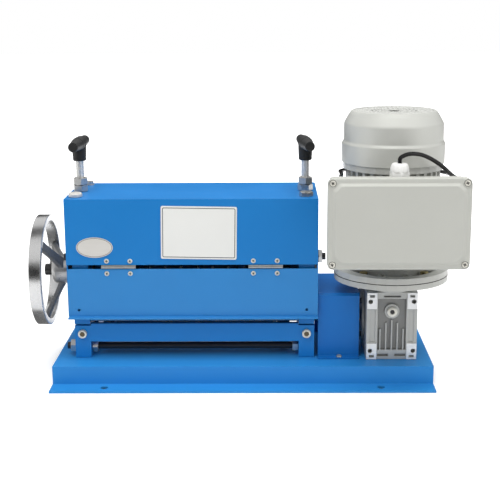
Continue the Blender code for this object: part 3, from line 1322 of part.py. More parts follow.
# Control box.
def rounded(low, high, corner, axis, start, end, segments=3):
    """A prism of a rounded rectangle between two corners across an axis."""
    points = []
    for sx, sz in ((1, 1), (-1, 1), (-1, -1), (1, -1)):
        x = high[0] - corner if sx > 0 else low[0] + corner
        z = high[1] - corner if sz > 0 else low[1] + corner
        first = math.atan2(sz, sx) - math.pi / 4
        for i in range(segments + 1):
            angle = first + i * math.pi / (2 * segments)
            points.append((x + corner * math.cos(angle), z + corner * math.sin(angle)))
    return prism(points, axis, start, end)


def build_control_box():
    """The control box: lid, tray and the terminal base behind it."""
    low, high = (LID_LEFT_X, LID_LOW_Z), (LID_LEFT_X + LID_WIDTH, LID_LOW_Z + LID_HEIGHT)
    front, back = LID_FRONT_Y, LID_FRONT_Y + LID_DEPTH
    lid = rounded(low, high, LID_CORNER, "Y", front, back)
    inset = LID_PANEL_INSET
    x0, z0, x1, z1 = low[0] + inset, low[1] + inset / 2, high[0] - inset, high[1] - inset / 2
    c = LID_PANEL_CHAMFER
    panel = [
        (x0 + c, z0),
        (x1 - c, z0),
        (x1, z0 + c),
        (x1, z1 - c),
        (x1 - c, z1),
        (x0 + c, z1),
        (x0, z1 - c),
        (x0, z0 + c),
    ]
    join(lid, prism(panel, "Y", front - LID_PANEL_PROUD, front + LID_PANEL_PROUD))
    wall = TRAY_INSET + TRAY_WALL
    inner_low, inner_high = (low[0] + wall, low[1] + wall), (high[0] - wall, high[1] - wall)
    cut(lid, rounded(inner_low, inner_high, TRAY_INSET, "Y", front + TRAY_WALL, back + CUT_OVERRUN))
    finish(lid, "control_box_lid", BOX_GREY)

    t_low = (low[0] + TRAY_INSET, low[1] + TRAY_INSET)
    t_high = (high[0] - TRAY_INSET, high[1] - TRAY_INSET)
    tray = rounded(t_low, t_high, LID_CORNER - TRAY_INSET, "Y", TRAY_FRONT_Y, TRAY_BACK_Y)
    wire_half = TERMINAL_BASE_WIDTH / 2 - 2 * TERMINAL_BASE_WALL
    floor, roof = TRAY_BACK_Y - TRAY_WALL, TRAY_TOP_Z + CUT_OVERRUN
    cut(
        tray,
        rounded(inner_low, inner_high, TRAY_INSET, "Y", TRAY_FRONT_Y - CUT_OVERRUN, floor),
        rod_hole("Z", (GLAND_X, GLAND_Y), GLAND_STEM_RADIUS, inner_high[1] - CUT_OVERRUN, roof),
        bar("Y", (MOTOR_X, TERMINAL_Z), wire_half, floor - CUT_OVERRUN, TRAY_BACK_Y + CUT_OVERRUN),
    )
    finish(tray, "control_box_tray", BOX_GREY)

    start, end = TRAY_BACK_Y + GAP, TERMINAL_PAD_Y - GAP
    half_x, half_z = TERMINAL_BASE_WIDTH / 2, TERMINAL_BASE_HEIGHT / 2
    left = MOTOR_X - half_x
    base = block((left, start, TERMINAL_Z - half_z), (MOTOR_X + half_x, end, TERMINAL_Z + half_z))
    wall = TERMINAL_BASE_WALL
    side_at = ((start + end) / 2, TERMINAL_Z)
    cut(
        base,
        block(
            (left + wall, start - CUT_OVERRUN, TERMINAL_Z - half_z + wall),
            (MOTOR_X + half_x - wall, end + CUT_OVERRUN, TERMINAL_Z + half_z - wall),
        ),
        rod_hole("X", side_at, SIDE_GLAND_STEM_RADIUS, left - CUT_OVERRUN, left + wall + CUT_OVERRUN),
    )
    finish(base, "terminal_base", MOTOR_GREY)


def build_glands():
    """The box's cable gland and the terminal base's, and where the lead ends in each."""
    at = (GLAND_X, GLAND_Y)
    seat = TRAY_TOP_Z + GAP
    hex_top = seat + GLAND_HEX_HEIGHT
    top = hex_top + GLAND_CAP_HEIGHT
    neck = LEAD_RADIUS + TERMINAL_BASE_WALL
    cap = turned(
        "Z",
        at,
        [
            (hex_top - GAP, 0),
            (hex_top - GAP, GLAND_RADIUS - LEAD_RADIUS / 2),
            (top - GLAND_CAP_HEIGHT / 2, GLAND_RADIUS - LEAD_RADIUS / 2),
            (top, neck),
            (top, 0),
        ],
        18,
    )
    gland = join(
        hexagon("Z", at, GLAND_FLATS, seat, hex_top),
        cap,
        bar("Z", at, GLAND_STEM_RADIUS, seat - GLAND_STEM, seat + GAP),
    )
    cut(gland, rod_hole("Z", at, LEAD_RADIUS, top - LEAD_ENTRY, top + CUT_OVERRUN))
    finish(gland, "box_gland", NYLON)

    side_at = ((TRAY_BACK_Y + TERMINAL_PAD_Y) / 2, TERMINAL_Z)
    face = MOTOR_X - TERMINAL_BASE_WIDTH / 2 - GAP
    outer = face - SIDE_GLAND_LENGTH
    gland = join(
        hexagon("X", side_at, SIDE_GLAND_FLATS, face - SIDE_GLAND_LENGTH / 2, face),
        bar("X", side_at, LEAD_RADIUS + GLAND_SKIN, outer, face - GAP),
        bar("X", side_at, SIDE_GLAND_STEM_RADIUS, face - GAP, face + TERMINAL_BASE_WALL),
    )
    cut(gland, rod_hole("X", side_at, LEAD_RADIUS, outer - CUT_OVERRUN, outer + LEAD_ENTRY))
    finish(gland, "terminal_gland", BLACK_PLASTIC)
    return (*at, top - LEAD_ENTRY + GAP), (outer + LEAD_ENTRY - GAP, *side_at)


def smooth_route(points, count):
    """A route through the given points, from a cubic that passes each of them."""
    route = []
    spans = len(points) - 1
    for i in range(count):
        at = spans * i / (count - 1)
        k = min(int(at), spans - 1)
        t = at - k
        p0, p1, p2, p3 = (Vector(points[min(max(k + j, 0), spans)]) for j in (-1, 0, 1, 2))
        route.append(
            0.5
            * (
                2 * p1
                + (p2 - p0) * t
                + (2 * p0 - 5 * p1 + 4 * p2 - p3) * t**2
                + (3 * p1 - p0 - 3 * p2 + p3) * t**3
            )
        )
    return route


def build_lead(start, end):
    """The lead from the box's gland, round the back of the motor, to the terminal base."""
    first = (start[0], start[1], start[2] + LEAD_ENTRY)
    last = (end[0] - LEAD_ENTRY, end[1], end[2])
    middle = [(MOTOR_X + x, MOTOR_Y + y, TERMINAL_Z + z) for x, y, z in LEAD_ROUTE]
    route = smooth_route([start, first, *middle, last, end], LEAD_POINTS)
    curve = bpy.data.curves.new("motor_lead", "CURVE")
    curve.dimensions = "3D"
    curve.bevel_depth = LEAD_RADIUS
    curve.bevel_resolution = 2
    curve.use_fill_caps = True
    spline = curve.splines.new("POLY")
    spline.points.add(len(route) - 1)
    for point, place in zip(spline.points, route):
        point.co = (*place, 1.0)
    obj = bpy.data.objects.new("motor_lead", curve)
    bpy.context.scene.collection.objects.link(obj)
    material = bpy.data.materials.new("motor_lead_finish")
    material.use_nodes = True
    shader = material.node_tree.nodes["Principled BSDF"]
    shader.inputs["Base Color"].default_value = (*CABLE_BLACK[0], 1.0)
    shader.inputs["Roughness"].default_value = CABLE_BLACK[1]
    curve.materials.append(material)


def main():
    """Build every piece in an empty file."""
    for obj in list(bpy.data.objects):
        bpy.data.objects.remove(obj)
    build_base()
    for side in PLATE_CENTRES:
        build_side_plate(side)
        build_block(side)
        build_adjuster(side)
    build_portal()
    build_tie_rods()
    build_feed_table()
    build_upper_cover()
    build_flap()
    build_hinges()
    build_plates()
    build_drive_shaft()
    build_blade_shaft()
    build_handwheel()
    build_guard()
    build_gearbox()
    build_flanges()
    build_motor_body()
    build_fan_cover()
    build_rotor()
    build_control_box()
    build_lead(*build_glands())


main()
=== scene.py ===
"""Dressed model of a bench wire stripping machine.

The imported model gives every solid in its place.  This script gives each one its
finish, and stands finer pieces in for the plain solids where the real machine
shows more.  Lengths are metres, +Z is up and the feed side faces -Y.
"""

import enum
import json
import logging
import math
from dataclasses import dataclass, field, replace
from typing import Optional, Sequence

import bmesh
import bpy
import numpy as np
from mathutils import Matrix, Vector

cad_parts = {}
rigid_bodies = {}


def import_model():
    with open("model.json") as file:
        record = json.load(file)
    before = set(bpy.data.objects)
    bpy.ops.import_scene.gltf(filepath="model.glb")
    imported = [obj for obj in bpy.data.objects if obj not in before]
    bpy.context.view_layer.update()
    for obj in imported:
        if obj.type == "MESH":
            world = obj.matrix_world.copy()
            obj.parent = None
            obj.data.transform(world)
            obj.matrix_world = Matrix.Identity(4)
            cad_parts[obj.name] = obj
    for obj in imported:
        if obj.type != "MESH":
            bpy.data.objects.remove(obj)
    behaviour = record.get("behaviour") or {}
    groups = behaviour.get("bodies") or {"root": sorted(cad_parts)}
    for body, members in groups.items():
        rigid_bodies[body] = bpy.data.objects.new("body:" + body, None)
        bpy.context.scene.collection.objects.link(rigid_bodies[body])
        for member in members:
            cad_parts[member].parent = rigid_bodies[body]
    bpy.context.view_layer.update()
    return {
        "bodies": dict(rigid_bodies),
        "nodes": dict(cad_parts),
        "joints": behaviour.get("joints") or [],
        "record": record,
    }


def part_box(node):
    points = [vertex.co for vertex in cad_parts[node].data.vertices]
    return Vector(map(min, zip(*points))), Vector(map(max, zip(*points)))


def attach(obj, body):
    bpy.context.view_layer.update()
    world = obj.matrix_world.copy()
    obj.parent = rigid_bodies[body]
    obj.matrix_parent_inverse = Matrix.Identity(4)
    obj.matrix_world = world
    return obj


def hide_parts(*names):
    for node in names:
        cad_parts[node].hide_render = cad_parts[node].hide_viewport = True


LOG = logging.getLogger("wire_stripper")
TAU = 2 * math.pi
CHAMFER = math.tan(math.radians(30))
HEX_STEPS = 48
# How far one piece reaches into the next, or stands over a face.
LAP = 0.0002
# Angles, in degrees, up to which the edges of such a surface are shaded smooth.
PLAIN, GROOVED, MOULDED, DOMED = 35.0, 40.0, 50.0, 60.0
SIDES = ("left", "right")
WHITE = (1.0, 1.0, 1.0, 1.0)

Colour = tuple[float, float, float]
Point = tuple[float, float, float]
Pair = tuple[float, float]
Profile = tuple[Pair, ...]


class Axis(enum.Enum):
    """The axis that a line runs along."""

    X = 0
    Y = 1
    Z = 2


# Angles, outlines and profiles.
def circle(angle: np.ndarray) -> np.ndarray:
    """Points of the unit circle: (cos a, sin a)."""
    return np.stack([np.cos(angle), np.sin(angle)], axis=-1)


def full_turn(steps: int, start: float = 0.0) -> np.ndarray:
    """Angles evenly round a full turn, from a start."""
    return start + np.arange(steps) * TAU / steps


def smooth(value: np.ndarray) -> np.ndarray:
    """Ease from 0 to 1 over one unit: t t (3 - 2 t)."""
    t = np.clip(value, 0, 1)
    return t * t * (3 - 2 * t)


def hexagon_reach(angle: np.ndarray, half: float, turn: float) -> np.ndarray:
    """How far a hexagon reaches at an angle: half its flats / cos(a), a folded to +-30 degrees."""
    return half / np.cos((angle - turn + math.pi / 6) % (math.pi / 3) - math.pi / 6)


def shifted(profile: Sequence[Pair], place: float, radius: float = 0.0) -> list[Pair]:
    """Add a place and a radius to every point of a profile."""
    return [(place + along, radius + out) for along, out in profile]


def rounded_outline(low: Sequence[float], high: Sequence[float], radius: float,
                    steps: int) -> np.ndarray:
    """A rectangle with round corners: each corner is a quarter circle about its own centre.

    Args:
        low: the lowest corner.
        high: the highest corner.
        radius: the corner radius.
        steps: how many segments each corner gets.

    Returns:
        An array of points, anticlockwise.
    """
    at_high = np.array([[1, 1], [0, 1], [0, 0], [1, 0]])
    centres = np.where(at_high, np.asarray(high, float) - radius, np.asarray(low, float) + radius)
    angle = np.linspace(0, math.pi / 2, steps + 1)[None, :] + (np.arange(4) * math.pi / 2)[:, None]
    return (centres[:, None, :] + radius * circle(angle)).reshape(-1, 2)


def cut_corner_outline(low: Sequence[float], high: Sequence[float], cut: float,
                       radius: float) -> np.ndarray:
    """A rectangle whose corners are cut at 45 degrees, with each of its eight corners rounded.

    A corner between sides facing a and a + 45 degrees is an arc about
    corner - (r / cos 22.5) (cos (a + 22.5), sin (a + 22.5)).

    Args:
        low: the lowest corner.
        high: the highest corner.
        cut: how much of each side a corner takes.
        radius: the rounding of the eight corners.

    Returns:
        An array of 32 points, anticlockwise.
    """
    (x0, y0), (x1, y1) = low, high
    upper = [[x1, y1 - cut], [x1 - cut, y1], [x0 + cut, y1], [x0, y1 - cut]]
    lower = [[x0, y0 + cut], [x0 + cut, y0], [x1 - cut, y0], [x1, y0 + cut]]
    eighth = math.pi / 4
    facing = np.arange(8) * eighth
    centres = np.array(upper + lower) - radius / math.cos(eighth / 2) * circle(facing + eighth / 2)
    angle = facing[:, None] + np.linspace(0, eighth, 4)[None, :]
    return (centres[:, None, :] + radius * circle(angle)).reshape(-1, 2)


def arc_profile(corners: Sequence[Pair], rounding: float, steps: int) -> list[Pair]:
    """Round the inner corners of an open profile with arcs that touch both sides.

    Each corner c turns into (1-t)^2 a + 2 t (1-t) c + t^2 b, a and b a rounding away on its sides.

    Args:
        corners: the profile's points.
        rounding: how far from a corner its curve starts, at most a third of either side.
        steps: how many segments each curve gets.

    Returns:
        The rounded profile.
    """
    points = np.asarray(corners, float)
    made = [tuple(points[0])]
    for before, corner, after in zip(points[:-2], points[1:-1], points[2:]):
        back, on = before - corner, after - corner
        sizes = np.linalg.norm(back), np.linalg.norm(on)
        reach = min(rounding, sizes[0] / 3, sizes[1] / 3)
        a, b = corner + back / sizes[0] * reach, corner + on / sizes[1] * reach
        for t in np.linspace(0, 1, steps + 1):
            made.append(tuple((1 - t) ** 2 * a + 2 * t * (1 - t) * corner + t * t * b))
    return made + [tuple(points[-1])]


# Shapes worked out as arrays.
@dataclass
class Shape:
    """Points and faces of one or more closed shells."""

    points: np.ndarray = field(default_factory=lambda: np.zeros((0, 3)))
    faces: list[Sequence[int]] = field(default_factory=list)

    def add(self, other: "Shape") -> "Shape":
        """Append another shape's shells.

        Args:
            other: the shape to take in.

        Returns:
            This shape.
        """
        start = len(self.points)
        self.points = np.vstack([self.points, other.points])
        self.faces += [[number + start for number in face] for face in other.faces]
        return self

    def turned(self, angle: float, line: "Line") -> "Shape":
        """Turn the points about a line: p' = c + R (p - c).

        Args:
            angle: the turn in radians, by the right-hand rule.
            line: what they turn about.

        Returns:
            This shape.
        """
        rotation = np.array(Matrix.Rotation(angle, 3, line.axis.name))
        middle = np.array(line.point)
        self.points = (self.points - middle) @ rotation.T + middle
        return self


def ring_faces(rows: int, columns: int, loop: bool) -> np.ndarray:
    """Quads of a grid whose columns wrap round.

    Face (i, j) joins (i, j), (i, j+1), (i+1, j+1) and (i+1, j), j taken modulo the columns.

    Args:
        rows: how many rows of points.
        columns: how many points in each row.
        loop: whether the last row joins the first.

    Returns:
        An array of four point numbers for each face.
    """
    i, j = np.meshgrid(np.arange(rows if loop else rows - 1), np.arange(columns), indexing="ij")
    below, right = (i + 1) % rows, (j + 1) % columns
    corners = [i * columns + j, i * columns + right, below * columns + right, below * columns + j]
    return np.stack(corners, axis=-1).reshape(-1, 4)


def skin(grid: np.ndarray, loop: bool = False) -> Shape:
    """Cover a grid of points whose columns wrap round, with a face over each end.

    Args:
        grid: an array (rows, columns, 3) of points.
        loop: whether the last row joins the first, which leaves no ends.

    Returns:
        The closed shell.
    """
    rows, columns = grid.shape[:2]
    faces = ring_faces(rows, columns, loop).tolist()
    if not loop:
        last = (rows - 1) * columns
        faces += [range(columns)[::-1], range(last, last + columns)]
    return Shape(grid.reshape(-1, 3), faces)


@dataclass(frozen=True)
class Line:
    """A line along an axis, which shapes are turned round or carried along."""

    axis: Axis
    centre: Pair = (0.0, 0.0)

    @property
    def point(self) -> Point:
        """The line's point at zero along its axis."""
        return tuple(np.insert(np.asarray(self.centre, float), self.axis.value, 0.0).tolist())

    def four_round(self, radius: float) -> list["Line"]:
        """Four parallel lines round this one, the first at 45 degrees."""
        centres = np.asarray(self.centre) + radius * circle(full_turn(4, math.pi / 4))
        return [Line(self.axis, tuple(centre)) for centre in centres.tolist()]

    def place(self, across: np.ndarray, at: np.ndarray) -> np.ndarray:
        """Put (a, b) offsets and their places along the line into the model's frame.

        The pair runs along (Y, Z), (X, Z) or (X, Y) for the axes X, Y and Z.

        Args:
            across: an array (..., 2) of offsets across the line.
            at: an array (...) of places along it.

        Returns:
            An array (..., 3) of points.
        """
        a, b = across[..., 0] + self.centre[0], across[..., 1] + self.centre[1]
        order = {Axis.X: (at, a, b), Axis.Y: (a, at, b), Axis.Z: (a, b, at)}[self.axis]
        return np.stack(np.broadcast_arrays(*order), axis=-1)

    def loft(self, outlines: Sequence[np.ndarray], at: Sequence[object],
             loop: bool = False) -> Shape:
        """Skin closed outlines: P(i, j) = outline(i, j) across the line, at(i, j) along it.

        Args:
            outlines: arrays of the same number of (a, b) points.
            at: each outline's place along the line, one number or one for each point.
            loop: whether the last outline joins the first, as round a bore.

        Returns:
            The closed shell, with one face over each end unless it loops.
        """
        stack = np.stack([np.asarray(outline, float) for outline in outlines])
        count = stack.shape[1:2]
        along = np.stack([np.broadcast_to(np.asarray(place, float), count) for place in at])
        return skin(self.place(stack, along), loop)

    def rings(self, angle: np.ndarray, radii: Sequence[object], at: Sequence[object],
              loop: bool = False) -> Shape:
        """Loft outlines given by their reach from the line: r(i, j) (cos a(j), sin a(j)).

        Args:
            angle: the angle of each point of an outline.
            radii: each outline's reach, one number or one for each point.
            at: each outline's place along the line, in the same way.
            loop: whether the last outline joins the first.

        Returns:
            The closed shell.
        """
        reaches = [np.broadcast_to(np.asarray(radius, float), angle.shape) for radius in radii]
        return self.loft([reach[:, None] * circle(angle) for reach in reaches], at, loop)

    def lathe(self, profile: Sequence[Pair], steps: int = 48) -> Shape:
        """Turn a profile round the line: P(t, s) = r(t) (cos s, sin s) across it, at h(t).

        A profile that starts and ends on the line closes in a fan at each pole, and any
        other profile is taken as a closed loop.

        Args:
            profile: pairs of place along the line and radius.
            steps: how many sides the round gets.

        Returns:
            The closed shell.
        """
        pairs = np.asarray(profile, float)
        poles = pairs[0, 1] == 0 and pairs[-1, 1] == 0
        inner = pairs[1:-1] if poles else pairs
        grid = self.place(inner[:, 1, None, None] * circle(full_turn(steps)), inner[:, 0, None])
        if not poles:
            return skin(grid, loop=True)
        j, last = np.arange(steps), (len(inner) - 1) * steps
        k, pole = (j + 1) % steps, np.full(steps, len(inner) * steps)
        fans = np.stack([pole, k, j, pole + 1, last + j, last + k], axis=-1).reshape(-1, 3)
        ends = self.place(np.zeros((2, 2)), pairs[[0, -1], 0])
        faces = ring_faces(len(inner), steps, False).tolist() + fans.tolist()
        return Shape(np.vstack([grid.reshape(-1, 3), ends]), faces)

    def bar(self, radius: float, start: float, end: float) -> Shape:
        """A round bar whose end edges are just broken.

        Args:
            radius: its radius.
            start: where it begins along the line.
            end: where it ends.

        Returns:
            The closed shell.
        """
        soft = radius * 0.001
        half = [(start, 0), (start, radius - soft), (start + soft, radius)]
        return self.lathe(half + [(end - soft, radius), (end, radius - soft), (end, 0)], 32)

    def band(self, outer: np.ndarray, inner: np.ndarray, start: float, end: float) -> Shape:
        """A flat frame between two outlines, from one place to another."""
        return self.loft([outer, outer, inner, inner], [start, end, end, start], loop=True)

    def ring(self, inner: float, outer: float, start: float, end: float) -> Shape:
        """A flat round ring between two radii, from one place to another."""
        return self.lathe([(start, inner), (start, outer), (end, outer), (end, inner)], 96)

    def block(self, low: np.ndarray, high: np.ndarray, ends: Pair, corner: float,
              edge: float) -> Shape:
        """A rounded block: near each end its outline draws in on a quarter circle.

        Args:
            low: the outline's lowest corner.
            high: the outline's highest corner.
            ends: where it begins and ends along the line.
            corner: the outline's corner radius.
            edge: the rounding of the edges at both ends.

        Returns:
            The closed shell.
        """
        start, end = ends
        phase = np.linspace(0, math.pi / 2, 4)
        outlines, places = [], []
        for draw, rise in zip(edge * (1 - np.sin(phase)), edge * (1 - np.cos(phase))):
            radius = max(corner - draw, edge * 0.2)
            outlines.append(rounded_outline(low + draw, high - draw, radius, 5))
            places.append(start + rise)
        far = [start + end - place for place in places[::-1]]
        return self.loft(outlines + outlines[::-1], places + far)

    def nut(self, flats: float, bore: float, ends: Pair, turn: float) -> Shape:
        """A nut with both faces chamfered: each edge drops by (hexagon reach - face) tan 30.

        Args:
            flats: the width across the flats.
            bore: the bore's radius.
            ends: its two faces along the line.
            turn: how far the hexagon is turned.

        Returns:
            The closed shell with an open bore.
        """
        start, end = ends
        angle = full_turn(HEX_STEPS, turn)
        reach = hexagon_reach(angle, flats / 2, turn)
        face, sink = flats / 2 * 0.96, bore * 0.12
        drop = (reach - face) * CHAMFER
        radii = [bore, bore + sink, face, reach, reach, face, bore + sink, bore]
        places = [start + sink, start, start, start + drop, end - drop, end, end, end - sink]
        return self.rings(angle, radii, places, loop=True)


@dataclass(frozen=True)
class Screw:
    """A screw head on a line, from its seat to its top."""

    line: Line
    radius: float
    seat: float
    top: float
    turn: float = 0.0

    @property
    def rise(self) -> float:
        """How high the head is, below zero where it faces down the line."""
        return self.top - self.seat

    def hexagon(self, washer: float = 0.0) -> Shape:
        """A hexagon head whose top edge drops by (hexagon reach - face) tan 30, on a washer.

        Args:
            washer: the washer's radius, or zero for none.

        Returns:
            The closed shell.
        """
        angle = full_turn(HEX_STEPS, self.turn)
        reach = hexagon_reach(angle, self.radius, self.turn)
        face = self.radius * 0.94
        drop = math.copysign(1.0, self.rise) * (reach - face) * CHAMFER
        radii = [reach, reach, face, face * 0.5]
        places = [self.seat, self.top - drop, self.top, self.top]
        if washer:
            plate = self.rise * 0.18
            radii = [washer, washer, washer * 0.96] + radii
            places = [self.seat + plate * share for share in (0.0, 0.8, 1.0, 1.0)] + places[1:]
        return self.line.rings(angle, radii, places)

    def socket(self, key: float) -> Shape:
        """A cap screw head: a round edge, then a hexagon socket down six tenths of its height.

        Args:
            key: the socket's width across the flats.

        Returns:
            The closed shell.
        """
        angle = full_turn(36)
        inside = hexagon_reach(angle, key / 2, 0.3)
        soft = math.copysign(self.radius, self.rise) * 0.12
        floor = self.top - self.rise * 0.6
        radii = [self.radius * share for share in (1.0, 1.0, 0.96, 0.88)]
        radii += [inside * 1.06, inside, inside, inside * 0.2]
        places = [self.seat, self.top - soft, self.top - soft * 0.3, self.top]
        places += [self.top, self.top - soft * 0.3, floor, floor - soft * 0.5]
        return self.line.rings(angle, radii, places)

    def disc(self) -> Shape:
        """A thin disc with a rounded rim, laid black under a screw head as a ring of painted
        shadow.

        Returns:
            The closed shell.
        """
        soft = self.rise * 0.4
        rim = [(self.top - soft, self.radius), (self.top, self.radius - abs(soft)), (self.top, 0.0)]
        return self.line.lathe([(self.seat, 0.0), (self.seat, self.radius)] + rim, 32)

    def cross(self) -> Shape:
        """The shadowed cross at the bottom of a pan head's recess, up to half the head's height.

        One arm's corners go round in four quarter turns, and then by the head's own turn.

        Returns:
            The closed shell.
        """
        arm, reach = 0.17 * self.radius, 0.64 * self.radius
        corner = np.array([[reach, -arm], [reach, arm], [arm, arm]])
        quarter = np.array([[0.0, 1.0], [-1.0, 0.0]])
        cosine, sine = math.cos(self.turn), math.sin(self.turn)
        turned = np.array([[cosine, sine], [-sine, cosine]])
        arms = [corner @ np.linalg.matrix_power(quarter, k) for k in range(4)]
        outline = np.vstack(arms) @ turned
        ends = [self.seat + self.rise * 0.1, self.seat + self.rise * 0.5]
        return self.line.loft([outline, outline], ends)

    def pan(self) -> Shape:
        """A domed head with a cross recess.

        Height = seat + rise sqrt(1 - (0.92 r / R)^2), less a cross of two smooth arms.

        Returns:
            The closed shell.
        """
        angle = full_turn(40, self.turn)
        share = np.array([1.0, 1.0, 0.93, 0.82, 0.7, 0.6, 0.52, 0.44, 0.36, 0.28, 0.2, 0.12, 0.04])
        dome = np.sqrt(1 - (0.92 * share) ** 2)
        spread = np.abs(share[:, None, None] * circle(angle - self.turn))
        arm, reach, ease = 0.13, 0.56, 0.09
        within, short = smooth((arm - spread) / ease + 0.5), smooth((reach - spread) / ease)
        depth = 0.75 * np.maximum(within[..., 0] * short[..., 1], within[..., 1] * short[..., 0])
        height = self.seat + self.rise * (dome[:, None] - depth)
        height[0] = self.seat
        return self.line.rings(angle, self.radius * share, height)


def through_points(points: Sequence[Point], per_span: int) -> np.ndarray:
    """A smooth route through every point, from the cubic that passes four points in a row.

    P(t) = (2 p1 + (p2 - p0) t + (2 p0 - 5 p1 + 4 p2 - p3) t^2 + (3 p1 - p0 - 3 p2 + p3) t^3) / 2.

    Args:
        points: the points, first and last included.
        per_span: how many steps each span gets.

    Returns:
        An array (n, 3) of points along the route.
    """
    knots = np.asarray(points, float)
    padded = np.vstack([2 * knots[0] - knots[1], knots, 2 * knots[-1] - knots[-2]])
    p0, p1, p2, p3 = padded[:-3, None], padded[1:-2, None], padded[2:-1, None], padded[3:, None]
    t = (np.arange(per_span) / per_span)[None, :, None]
    bend, twist = 2 * p0 - 5 * p1 + 4 * p2 - p3, 3 * p1 - p0 - 3 * p2 + p3
    route = 0.5 * (2 * p1 + (p2 - p0) * t + bend * t**2 + twist * t**3)
    return np.vstack([route.reshape(-1, 3), knots[-1]])


def tube(path: np.ndarray, radius: float, steps: int = 16) -> Shape:
    """Carry a circle along a path: P(i, j) = path(i) + r (cos a u(i) + sin a v(i)).

    The frame (u, v) starts across the first step and leans with each next one, without twisting.

    Args:
        path: an array (n, 3) of points.
        radius: the tube's radius.
        steps: how many sides it gets.

    Returns:
        The closed shell.
    """
    ahead = np.gradient(path, axis=0)
    ahead /= np.linalg.norm(ahead, axis=1, keepdims=True)
    side = np.cross(ahead[0], (0.0, 0.0, 1.0) if abs(ahead[0][2]) < 0.9 else (1.0, 0.0, 0.0))
    across = []
    for direction in ahead:
        side = side - direction * np.dot(side, direction)
        side = side / np.linalg.norm(side)
        across.append(side)
    u = np.array(across)
    v = np.cross(ahead, u)
    spoke = circle(full_turn(steps))[None, :, :, None]
    around = spoke[:, :, 0] * u[:, None, :] + spoke[:, :, 1] * v[:, None, :]
    return skin(path[:, None, :] + radius * around)


# Shader nodes.
class NodeTree:
    """Adds shader nodes to a tree and joins them."""

    def __init__(self, tree: bpy.types.NodeTree) -> None:
        """Keep the tree that the nodes go into."""
        self.tree = tree

    def feed(self, node: bpy.types.Node, values: dict) -> None:
        """Fill a node's inputs.

        Args:
            node: the node.
            values: by input name or number, the socket that feeds it, or its value.
        """
        for key, value in values.items():
            if isinstance(value, bpy.types.NodeSocket):
                self.tree.links.new(value, node.inputs[key])
            else:
                node.inputs[key].default_value = value

    def node(self, kind: str, values: Optional[dict] = None, **settings: object) -> bpy.types.Node:
        """Add a node.

        Args:
            kind: its type, without ShaderNode before it.
            values: what its inputs are filled with.
            settings: its own properties.

        Returns:
            The new node.
        """
        made = self.tree.nodes.new("ShaderNode" + kind)
        for key, value in settings.items():
            setattr(made, key, value)
        self.feed(made, values or {})
        return made

    def math(self, operation: str, *operands: object) -> bpy.types.NodeSocket:
        """Work out a number and return its socket."""
        return self.node("Math", dict(enumerate(operands)), operation=operation).outputs["Value"]

    def vector(self, operation: str, *operands: object) -> bpy.types.NodeSocket:
        """Work out a vector, or the number that it gives, and return its socket."""
        made = self.node("VectorMath", dict(enumerate(operands)), operation=operation)
        return made.outputs["Value" if operation in ("LENGTH", "DOT_PRODUCT") else "Vector"]

    def ramp(self, value: bpy.types.NodeSocket, start: float, end: float, low: object = 0.0,
             high: object = 1.0, kind: str = "SMOOTHSTEP") -> bpy.types.NodeSocket:
        """Spread a number from one range over another.

        Args:
            value: the number's socket.
            start: what turns into the low end.
            end: what turns into the high end.
            low: the low end, a number or a socket.
            high: the high end.
            kind: how it goes between them.

        Returns:
            The result's socket.
        """
        values = {"Value": value, "From Min": start, "From Max": end, "To Min": low, "To Max": high}
        return self.node("MapRange", values, interpolation_type=kind).outputs["Result"]

    def seen(self) -> bpy.types.NodeSocket:
        """1 where the camera, a reflection or a refraction looks: the largest of the three.

        Returns:
            Its socket.
        """
        path = self.node("LightPath").outputs
        looked = self.math("MAXIMUM", path["Is Camera Ray"], path["Is Glossy Ray"])
        return self.math("MAXIMUM", looked, path["Is Transmission Ray"])


class ShaderGroup(NodeTree):
    """A named node group, made once and placed in each material with its own values."""

    def __init__(self, name: str, **given: object) -> None:
        """Make the group's inputs: Vector, and those that are named.

        Args:
            name: the group's name.
            given: each input's default, a number or a vector, with _ for a space in the name.
        """
        super().__init__(bpy.data.node_groups.new(name, "ShaderNodeTree"))
        add = self.tree.interface.new_socket
        add(name="Vector", in_out="INPUT", socket_type="NodeSocketVector")
        for label, default in given.items():
            kind = "NodeSocketFloat" if isinstance(default, float) else "NodeSocketVector"
            socket = add(name=label.replace("_", " "), in_out="INPUT", socket_type=kind)
            socket.default_value = default
        self.given = self.tree.nodes.new("NodeGroupInput").outputs

    def noise(self, scale: object, detail: float, roughness: float = 0.5,
              vector: Optional[bpy.types.NodeSocket] = None) -> bpy.types.NodeSocket:
        """Noise on the group's vector or on another.

        Args:
            scale: its scale, a number or a socket.
            detail: how many finer layers it has.
            roughness: how strong they are.
            vector: what it is read on, if not the group's vector.

        Returns:
            The noise's socket, about 0 to 1.
        """
        where = self.given["Vector"] if vector is None else vector
        values = {"Vector": where, "Scale": scale, "Detail": detail, "Roughness": roughness}
        return self.node("TexNoise", values, noise_dimensions="3D").outputs["Fac"]

    def spread(self, value: bpy.types.NodeSocket, start: float, end: float) -> bpy.types.NodeSocket:
        """Spread a noise evenly from Rough Low to Rough High."""
        low, high = self.given["Rough Low"], self.given["Rough High"]
        return self.ramp(value, start, end, low, high, "LINEAR")

    def give(self, **results: bpy.types.NodeSocket) -> bpy.types.NodeTree:
        """Make the group's outputs.

        Args:
            results: the socket that feeds each output.

        Returns:
            The group's node tree.
        """
        for label, source in results.items():
            kind = "NodeSocketVector" if source.type == "VECTOR" else "NodeSocketFloat"
            self.tree.interface.new_socket(name=label, in_out="OUTPUT", socket_type=kind)
        self.feed(self.tree.nodes.new("NodeGroupOutput"), results)
        return self.tree


